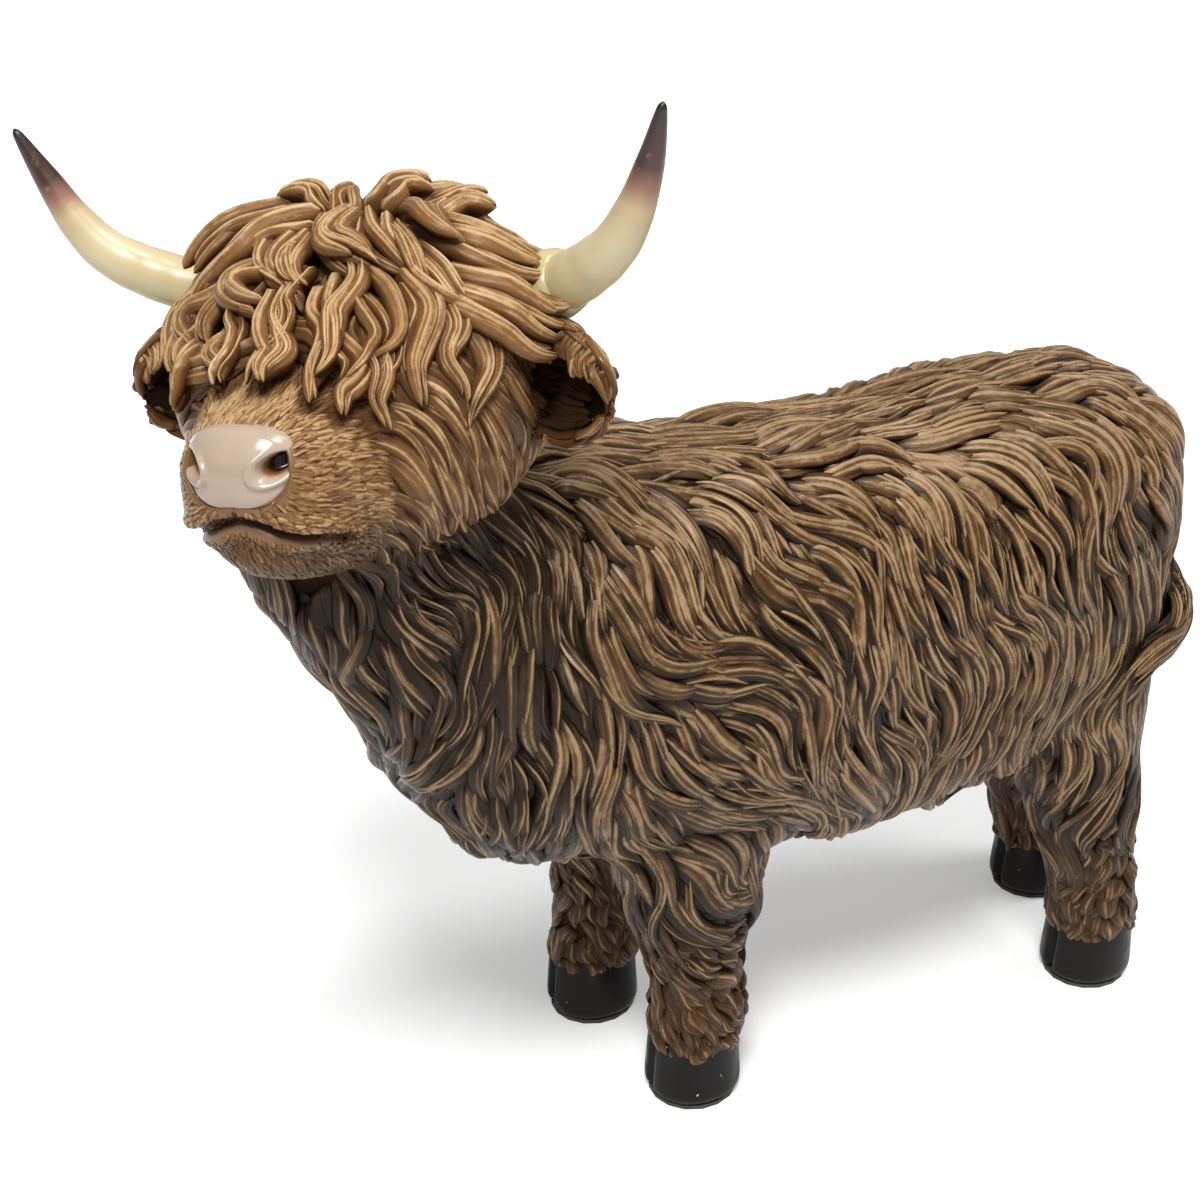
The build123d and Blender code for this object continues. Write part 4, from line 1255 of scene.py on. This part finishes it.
# Locks placed one by one on the head, as the photographed ones lie: their width and their points in
# the head frame
front_locks = [
    (9, [(-1, -8, 24), (-2, -20, 19), (6, -28, 14), (12, -31, 11), (20, -33, 7)]),
    (8, [(4, -10, 23), (5, -24, 17), (12, -28, 14), (21, -32, 8)]),
    (9, [(-9, -16, 20), (-13, -28, 14), (-5, -35, 9), (1, -39, 5), (5, -43, 1)]),
    (7, [(-5, -20, 19), (-7, -28, 14), (-4, -33, 9), (3, -37, 6)]),
    (9, [(8, -10, 22), (13, -22, 18), (20, -26, 13), (27, -28, 9), (33, -32, 1)]),
    (8, [(17, -14, 19), (26, -25, 13), (30, -28, 7), (36, -31, 0)]),
    (9, [(18, -6, 22), (27, -14, 17), (32, -16, 14), (40, -18, 8)]),
    (11, [(23, -22, 15), (32, -27, 8), (39, -28, 1), (47, -25, -8)]),
    (8, [(-13, -26, 12), (-19, -36, 6), (-14, -42, 1), (-7, -46, -2)]),
    (9, [(-26, -26, 10), (-38, -29, 0), (-39, -34, -6), (-32, -43, -10)]),
    (8, [(-18, -28, 11), (-25, -37, 2), (-28, -41, -3), (-24, -47, -8)]),
    (7.5, [(-13, -32, 9), (-17, -42, 0), (-13, -50, -7), (-14, -58, -12), (-9, -66, -15)]),
    (7.5, [(-5, -36, 7), (-4, -48, -2), (3, -54, -8), (1, -62, -12), (5, -71, -15)]),
    (8.5, [(8, -32, 10), (9, -42, 2), (14, -49, -5), (11, -58, -12), (15, -68, -17)]),
    (8, [(17, -36, 6), (15, -47, -4), (21, -52, -11), (18, -60, -15), (21, -65, -20)]),
    (6, [(0, -30, 12), (-2, -42, 4), (2, -50, -3), (-3, -58, -9), (-2, -67, -14)]),
    (6.5, [(22, -34, 6), (23, -45, -4), (28, -50, -12), (25, -55, -18), (29, -58, -26)]),
    (6, [(12, -26, 14), (16, -36, 8), (13, -46, 0), (17, -54, -7), (14, -60, -12)]),
    (8, [(15, -32, 9), (24, -41, 0), (26, -44, -6), (23, -50, -11), (19, -57, -14)]),
    (10, [(24, -28, 10), (34, -33, 0), (32, -40, -8), (30, -46, -14), (36, -48, -25)]),
    (9, [(32, -26, 6), (40, -31, -5), (38, -38, -12), (42, -39, -20), (39, -43, -27)]),
    (10, [(36, -24, 3), (46, -28, -10), (46, -30, -17), (42, -38, -24), (43, -41, -30)]),
    (7, [(24, -40, 0), (28, -47, -10), (26, -50, -15), (31, -52, -21)]),
    (9, [(-8, -6, 25), (-25, -11, 22), (-32, -17, 18), (-38, -24, 10)]),
    (9, [(-14, -8, 24), (-28, -16, 19), (-36, -21, 14), (-41, -28, 5)]),
    (9, [(-4, -12, 22), (-18, -18, 19), (-23, -25, 13), (-33, -28, 5), (-36, -33, -4)]),
    (8, [(-18, -5, 25), (-29, -10, 22), (-36, -14, 17), (-43, -18, 9)]),
    (6.5, [(-16, -44, -3), (-19, -51, -8), (-15, -57, -12), (-16, -63, -15)]),
    (6.5, [(-25, -40, -5), (-29, -46, -11), (-27, -50, -17), (-29, -53, -24)]),
    (8, [(-32, -34, -2), (-37, -38, -10), (-34, -41, -17), (-36, -42, -26)]),
    (8, [(-38, -22, 4), (-45, -24, -4), (-44, -30, -12), (-40, -35, -20)]),
]
side_rolls = [
    (12, [(20, -9, 17), (34, -13, 12), (46, -10, 4), (54, -3, 1), (60, 2, 3)]),
    (12, [(30, -20, 10), (43, -20, 1), (52, -14, -5), (58, -8, -7), (62, -3, -4)]),
    (10, [(30, -26, 5), (42, -27, -3), (49, -21, -11), (54, -13, -14), (56, -6, -13)]),
    (10, [(24, -2, 13), (36, 2, 6), (45, 8, 0), (52, 12, -4)]),
    (9, [(22, 8, 11), (34, 14, 3), (43, 20, -4), (48, 24, -10)]),
    (9, [(-22, -4, 20), (-35, -4, 14), (-45, -2, 4), (-49, 8, -4), (-50, 18, -6)]),
    (9, [(-30, -10, 15), (-42, -12, 4), (-49, -6, -6), (-51, 6, -11)]),
    (10, [(-20, 6, 20), (-33, 10, 14), (-42, 14, 5), (-48, 20, -3)]),
]
crown_tufts = [
    (8, [(-4, -8, 19), (-12, -5, 23), (-22, -8, 25)]),
    (7, [(0, -12, 18), (-3, -4, 22), (-3, 8, 24)]),
    (10, [(6, -6, 19), (12, 6, 22), (22, 4, 21)]),
    (9, [(18, 0, 18), (27, 10, 20), (37, 15, 19)]),
    (9, [(4, 4, 20), (6, 16, 20), (2, 30, 15)]),
    (9, [(-8, 4, 20), (-14, 14, 19), (-22, 24, 13)]),
    (9, [(14, 6, 19), (20, 18, 17), (24, 32, 9)]),
]


def placed_locks(rows, kind, reach, draw):
    """Locks along listed points over the head, no higher over the skin than their reach."""
    steps = kind["rings"]
    path = np.empty((len(rows), steps, 3))
    out = np.empty_like(path)
    for i, (width, points) in enumerate(rows):
        points = from_head(curve_through(points, steps))
        spots, normals = surface.nearest(points)
        above = np.sum((points - spots) * normals, axis=1)
        path[i] = spots + normals * np.clip(above, 0.6, reach)[:, None]
        out[i] = normals
    path, out = eased(path, out, 3)
    widths = np.array([width for width, points in rows])
    return form_locks(path, out, {**kind, "width": widths}, draw)


tries = surface.scatter(60000, rng)
regions = region_of(tries)
sets = {}
for label, (within, spacing, lengths, curl, waves) in coat_rows.items():
    kind = kinds[label]
    places = tries[np.isin(regions, within)]
    places = places[thin_out(places, spacing)]
    lengths = rng.uniform(*lengths, len(places))
    if label == "legs":
        lengths = np.minimum(lengths, (places[:, 2] - hoof_height + 4.0) * 1.2)
    curls = curl * rng.uniform(-1, 1, len(places))
    phases = rng.uniform(-0.6, 0.6, len(places))
    path, out = lay_paths(surface, places, lengths, curls, phases, waves, kind["rings"])
    # A path that stops at a fold of the skin, or jumps over one, makes no lock
    strides = np.linalg.norm(np.diff(path, axis=1), axis=2)
    free = np.linalg.norm(path[:, -1] - path[:, 0], axis=1) > 0.6 * lengths
    free &= strides.max(axis=1) < 1.8 * lengths / (kind["rings"] - 1)
    free &= np.sum(out[:, 1:] * out[:, :-1], axis=2).min(axis=1) > 0.7
    sets[label] = form_locks(path[free], out[free], kind, rng)

sets["front"] = placed_locks(front_locks, kinds["front"], 7.0, rng)
sets["rolls"] = placed_locks(side_rolls, kinds["rolls"], 15.0, rng)
sets["tufts"] = placed_locks(crown_tufts, kinds["tufts"], 9.0, rng)


def laid_locks(paths, kind, draw):
    """Locks along ready paths, each with its outward ways, in the head frame."""
    steps = kind["rings"]
    path = np.stack([curve_through(points, steps) for points, outs in paths])
    out = np.stack([curve_through(outs, steps) for points, outs in paths])
    return form_locks(from_head(path), unit(out @ head_axes.T), kind, draw)


ears = {"left": Ear(1), "right": Ear(-1)}
for side_name, ear in ears.items():
    for label, paths in ear.hair(rng).items():
        sets[side_name + "_ear_" + label] = laid_locks(paths, kinds[label], rng)

# The tail: its middle line, and how far its hair stands out along it
tail_line = [
    (spine_x, 164, 226), (spine_x, 176, 212), (spine_x, 178.5, 192), (-7, 178.5, 173), (8, 177, 162),
    (25, 168, 158), (35, 151, 153), (37, 141, 142),
]


def tail_paths(steps, draw):
    """Wavy locks laid round the tail's line, longer ones down its switch."""
    line = curve_through(tail_line, 140)
    share = np.linspace(0, 1, len(line))
    ahead = unit(np.gradient(line, axis=0))
    away = line - (spine_x, 120.0, 175.0)
    away = unit(away - ahead * np.sum(away * ahead, axis=1, keepdims=True))
    frames = np.stack((line, np.cross(ahead, away), away))
    stops = (0, 0.15, 0.35, 0.55, 0.75, 0.9, 1.0)
    wide = np.interp(share, stops, (6.0, 6.0, 7.5, 11.0, 12.5, 8.0, 2.0))
    thick = np.interp(share, stops, (5.5, 5.5, 5.5, 6.5, 6.5, 5.0, 1.5))
    paths, outs = [], []
    for start, count in ((0.0, 7), (0.16, 8), (0.32, 9), (0.46, 10), (0.58, 9)):
        for turn in np.linspace(-0.55, 0.55, count) * np.pi + draw.uniform(-0.1, 0.1):
            spots = np.linspace(start, min(1.0, start + draw.uniform(0.36, 0.46)), steps)
            middle, across, outward = read_along(frames, np.broadcast_to(spots, (3, steps)))
            swing = (turn + 0.35 * np.sin(spots * 16 + draw.uniform(0, 6.3)))[:, None]
            w, t = np.interp(spots, share, wide)[:, None], np.interp(spots, share, thick)[:, None]
            paths.append(middle + across * np.sin(swing) * w * 0.8 + outward * np.cos(swing) * t * 0.75)
            outs.append(unit(across * np.sin(swing) / w + outward * np.cos(swing) / t))
    return np.stack(paths), np.stack(outs)


sets["tail"] = form_locks(*tail_paths(kinds["tail"]["rings"], rng), kinds["tail"], rng)

# The short fur on the face
fur_tries = face_surface.scatter(60000, rng)
fur_local = to_head(fur_tries)
mouth_curve = curve_through(mouth_line, 60)
mouth_gaps = np.array(
    [np.linalg.norm(fur_local - spot * (side, 1, 1), axis=1) for spot in mouth_curve for side in (1, -1)]
)
mouth_gap = mouth_gaps.min(0)
nearest_spot = np.repeat(mouth_curve, 2, axis=0)[mouth_gaps.argmin(0)]
mouth_gap -= 1.3 * (fur_local[:, 2] < nearest_spot[:, 2])
under_pad = (pad_reach(fur_local) < 0.94) & (fur_local[:, 1] < -70)
bare = (fur_local[:, 1] > np.minimum(fur_edge(fur_local) + 5, -43.5)) | (mouth_gap < 1.9) | under_pad
thinned = thin_out(fur_tries[~bare], 1.15)
fur_places = fur_tries[~bare][thinned]
mouth_gap = mouth_gap[~bare][thinned]
count = len(fur_places)
fur_lengths = np.minimum(rng.uniform(5.0, 9.0, count), np.maximum(1.6, mouth_gap - 1.0))
fur_lengths = np.minimum(fur_lengths, 3.6 + np.clip(to_head(fur_places)[:, 1] + 86, 0, 30) * 0.3)
curls = 0.3 * rng.uniform(-1, 1, count)
phases = rng.uniform(-1, 1, count)
kind = kinds["muzzle"]
fur_path, fur_out = lay_paths(face_surface, fur_places, fur_lengths, curls, phases, 0.6, kind["rings"])
sets["muzzle"] = form_locks(fur_path, fur_out, kind, rng)

# Wash with painted shade, and warmth, for every set together
clouds = [locks["points"].reshape(-1, 3) for locks in sets.values()]
crowding = Crowding(clouds + [skin_points, face_points.reshape(-1, 3)], 1.6)


# Dark wash paint and painted shade: the more hair crowds above a place, the darker it is
def wash_and_shade_at(places, outs):
    near = crowding.at(places + outs * 1.8)
    far = crowding.at(places + outs * 3.6)
    return np.clip((0.6 * near + 0.4 * far) * 2.6 - 0.15, 0, 1)


def painted_shade_at(places):
    """Painted shade on the neck, chest, legs and chin, which lie under the head and the belly, and less
    painted shade, so lighter, on the forelock and along the top of the back, which face the light.
    """
    local = to_head(places)
    neck = smooth_step(-58, -74, places[:, 1]) * smooth_step(-50, -72, local[:, 2])
    legs = smooth_step(105, 85, places[:, 2])
    chin = smooth_step(-42, -50, local[:, 2]) * smooth_step(-45, -55, local[:, 1])
    fringe = smooth_step(-28, -8, local[:, 2]) * smooth_step(40, 10, local[:, 1])
    back = smooth_step(200, 238, places[:, 2]) * smooth_step(-75, -45, places[:, 1])
    return 0.2 * np.maximum.reduce((neck, legs, chin)) - 0.34 * fringe - 0.18 * back


def warm_at(places):
    """The head is painted lighter and more ochre than the body."""
    local = to_head(places)
    head = smooth_step(-75, -40, local[:, 2]) * smooth_step(70, 35, local[:, 1])
    leg = 0.35 * smooth_step(90, 40, places[:, 2])
    return np.clip(0.9 * head + leg, 0, 1)


def carried_by(label):
    """The CAD node that a set of locks is part of."""
    if label in ("bed", "trunk", "legs"):
        return "body_casting"
    if label == "tail":
        return "tail_casting"
    for side_name in ears:
        if label.startswith(side_name + "_ear"):
            return side_name + "_ear"
    return "head_casting"


most_triangles = 190000
for label, locks in sets.items():
    within_ear = "inner" in label
    if within_ear:
        locks["crest"] = locks["crest"] * 0.22
    elif label == "muzzle":
        locks["crest"] = 0.44 + 0.5 * locks["crest"]
    places = locks["points"].reshape(-1, 3)
    outs = locks["out"].reshape(-1, 3)
    wash_and_shade, warm = np.clip(wash_and_shade_at(places, outs) + painted_shade_at(places), 0, 1), warm_at(places)
    # Within the ear the hair takes more of the wash and painted shade, and less warmth
    if within_ear:
        wash_and_shade, warm = np.clip(wash_and_shade + 0.3, 0, 1), 0.2 * warm
    count, rings, around = locks["points"].shape[:3]
    locks["wash_and_shade"], locks["warm"] = wash_and_shade.reshape(count, -1), warm.reshape(count, -1)
    # A set of too many triangles for one piece is split along the body
    order = np.argsort(locks["points"][:, 0, 0, 1] + 0.001 * np.arange(count) / count)
    parts = np.array_split(order, math.ceil(count * rings * around * 2 / most_triangles))
    for part, chosen in enumerate(parts):
        chosen_locks = {key: values[chosen] for key, values in locks.items()}
        piece = lock_piece(f"{label}_hair_{part + 1}", chosen_locks)
        finish_piece(piece, deep_paint if within_ear else coat_paint, "fur_resin", carried_by(label))


def coat_values(places, crest, tone, wash_and_shade):
    places = places.reshape(-1, 3)
    values = {"crest": crest, "tone": tone, "across": 0.0, "along": 0.0, "wash_and_shade": wash_and_shade, "warm": warm_at(places)}
    return {label: np.broadcast_to(value, len(places)) for label, value in values.items()}


# The skin between the locks is fully dark: dark wash paint and painted shade where it shows between them
skin_piece = mesh_object("under_coat", skin_points, [skin_triangles], coat_values(skin_points, 0.2, 0.3, 1.0))
finish_piece(skin_piece, deep_paint, "fur_resin", "body_casting", "head_casting")
bpy.data.objects.remove(coat_skin)

face = grid_piece("face", face_points, {"lip": face_lip})
finish_piece(face, face_paint, "fur_resin", "head_casting")

nose_grid, nose_hollow = nose_form()
nose = grid_piece("nose_pad", from_head(nose_grid), {"hollow": nose_hollow}, capped=False)
finish_piece(nose, nose_paint, "fur_resin", "head_casting")

horns = {"left": horn_form(1), "right": horn_form(-1)}
for side_name, side in (("left", 1), ("right", -1)):
    horn_grid, horn_share = horns[side_name]
    horn = grid_piece(side_name + "_horn_shell", from_head(horn_grid), {"share": horn_share})
    finish_piece(horn, horn_paint, "horn_resin", side_name + "_horn")
    eye = grid_piece(side_name + "_eye", from_head(eye_form(side)))
    finish_piece(eye, eye_paint, "fur_resin", "head_casting")
    shell = from_head(ears[side_name].shell())
    inside = np.zeros(shell.shape[:2])
    inside[:, ear_columns:] = 1.0
    inside = inside.ravel()
    # The ear's inner side is fully dark with wash paint and painted shade, and not warm
    values = coat_values(shell, 0.3 * (1 - inside), 0.4, 0.4 + 0.6 * inside)
    values["warm"] = values["warm"] * (1 - inside)
    cup = grid_piece(side_name + "_ear_cup", shell, values)
    finish_piece(cup, deep_paint, "fur_resin", side_name + "_ear")

# The bead of filler where the left horn leaves the hair
horn_grid = horns["left"][0]
reach = horn_grid[..., 0].mean(axis=1)
root_rows = horn_grid[(reach > 52.5) & (reach < 61.0)]
along_root = np.linspace(0, 1, len(root_rows))[:, None]
turns = np.linspace(0, 2 * np.pi, root_rows.shape[1], endpoint=False)[None, :]
lumps = 1 + 0.25 * np.sin(3 * turns + 2.0) + 0.12 * np.sin(7 * turns)
swell = 1.7 * np.sin(np.pi * along_root) ** 0.7 * lumps
bead_grid = root_rows + unit(root_rows - root_rows.mean(axis=1, keepdims=True)) * (0.05 + swell)[..., None]
bead = grid_piece("horn_filler", from_head(bead_grid))
finish_piece(bead, filler, "horn_resin", "left_horn")

for leg in hooves:
    finish_piece(grid_piece(leg + "_hoof", hoof_form(leg)), hoof_paint, "fur_resin", "body_casting")

# CAD nodes that stay
for name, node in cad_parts.items():
    if "pad" in name or "plug" in name:
        wear(node, rubber)
    elif "rod" in name or "pin" in name or "dowel" in name:
        wear(node, steel)
    else:
        wear(node, horn_paint if "horn" in name else coat_paint)

# Floor, light and camera
floor_mesh = bpy.data.meshes.new("floor")
floor_mesh.from_pydata([(-6, -6, 0), (6, -6, 0), (6, 6, 0), (-6, 6, 0)], [], [(0, 1, 2, 3)])
floor = place_object("floor", floor_mesh)
n = Material("floor_paint")
n.sockets["Base Color"].default_value = (0.86, 0.86, 0.86, 1)
n.sockets["Roughness"].default_value = 0.9
n.sockets["Emission Color"].default_value = (1, 1, 1, 1)
ray = n.node("LightPath").outputs
seen = n.math("MAXIMUM", ray["Is Camera Ray"], ray["Is Glossy Ray"])
away = n.node("VectorMath", {0: n.place()})
away.operation = "LENGTH"
glow = n.spread(away.outputs["Value"], 0.3, 1.2, 0.3, 1.0)
n.put(n.times(seen, glow), n.sockets["Emission Strength"])
wear(floor, n.material)

world = bpy.data.worlds.new("studio")
bpy.context.scene.world = world
world.use_nodes = True
n = Nodes(world.node_tree)
background = n.tree.nodes["Background"].inputs
ray = n.node("LightPath").outputs
seen = n.math("MAXIMUM", ray["Is Camera Ray"], ray["Is Transmission Ray"])
n.put(n.plus(0.34, n.times(seen, 0.66)), background["Strength"])
background["Color"].default_value = (1, 1, 1, 1)


def soft_lamp(name, place, target, size, watts):
    lamp = bpy.data.lights.new(name, "AREA")
    lamp.shape = "DISK"
    lamp.size = size
    lamp.energy = watts
    holder = place_object(name, lamp)
    holder.location = place
    holder.rotation_euler = (Vector(target) - Vector(place)).to_track_quat("-Z", "Y").to_euler()


soft_lamp("key", (0.85, -0.5, 1.8), (0, -0.05, 0.2), 0.5, 32.0)
soft_lamp("top", (0.2, 0.5, 1.9), (0, 0.05, 0.2), 0.5, 14.0)

camera_data = bpy.data.cameras.new("camera")
camera_data.sensor_width = 36.0
camera_data.lens = 57.0
camera = place_object("camera", camera_data)
azimuth, elevation = math.radians(67.0), math.radians(28.0)
right = Vector((math.cos(azimuth), math.sin(azimuth), 0))
back = Vector(
    (math.sin(azimuth) * math.cos(elevation), -math.cos(azimuth) * math.cos(elevation), math.sin(elevation))
)
up = back.cross(right)
turn = Matrix((right, up, back)).transposed().to_4x4()
camera.matrix_world = Matrix.Translation((0.4943, -0.2508, 0.4847)) @ turn
bpy.context.scene.camera = camera
bpy.context.scene.view_settings.view_transform = "Standard"

bpy.context.view_layer.update()
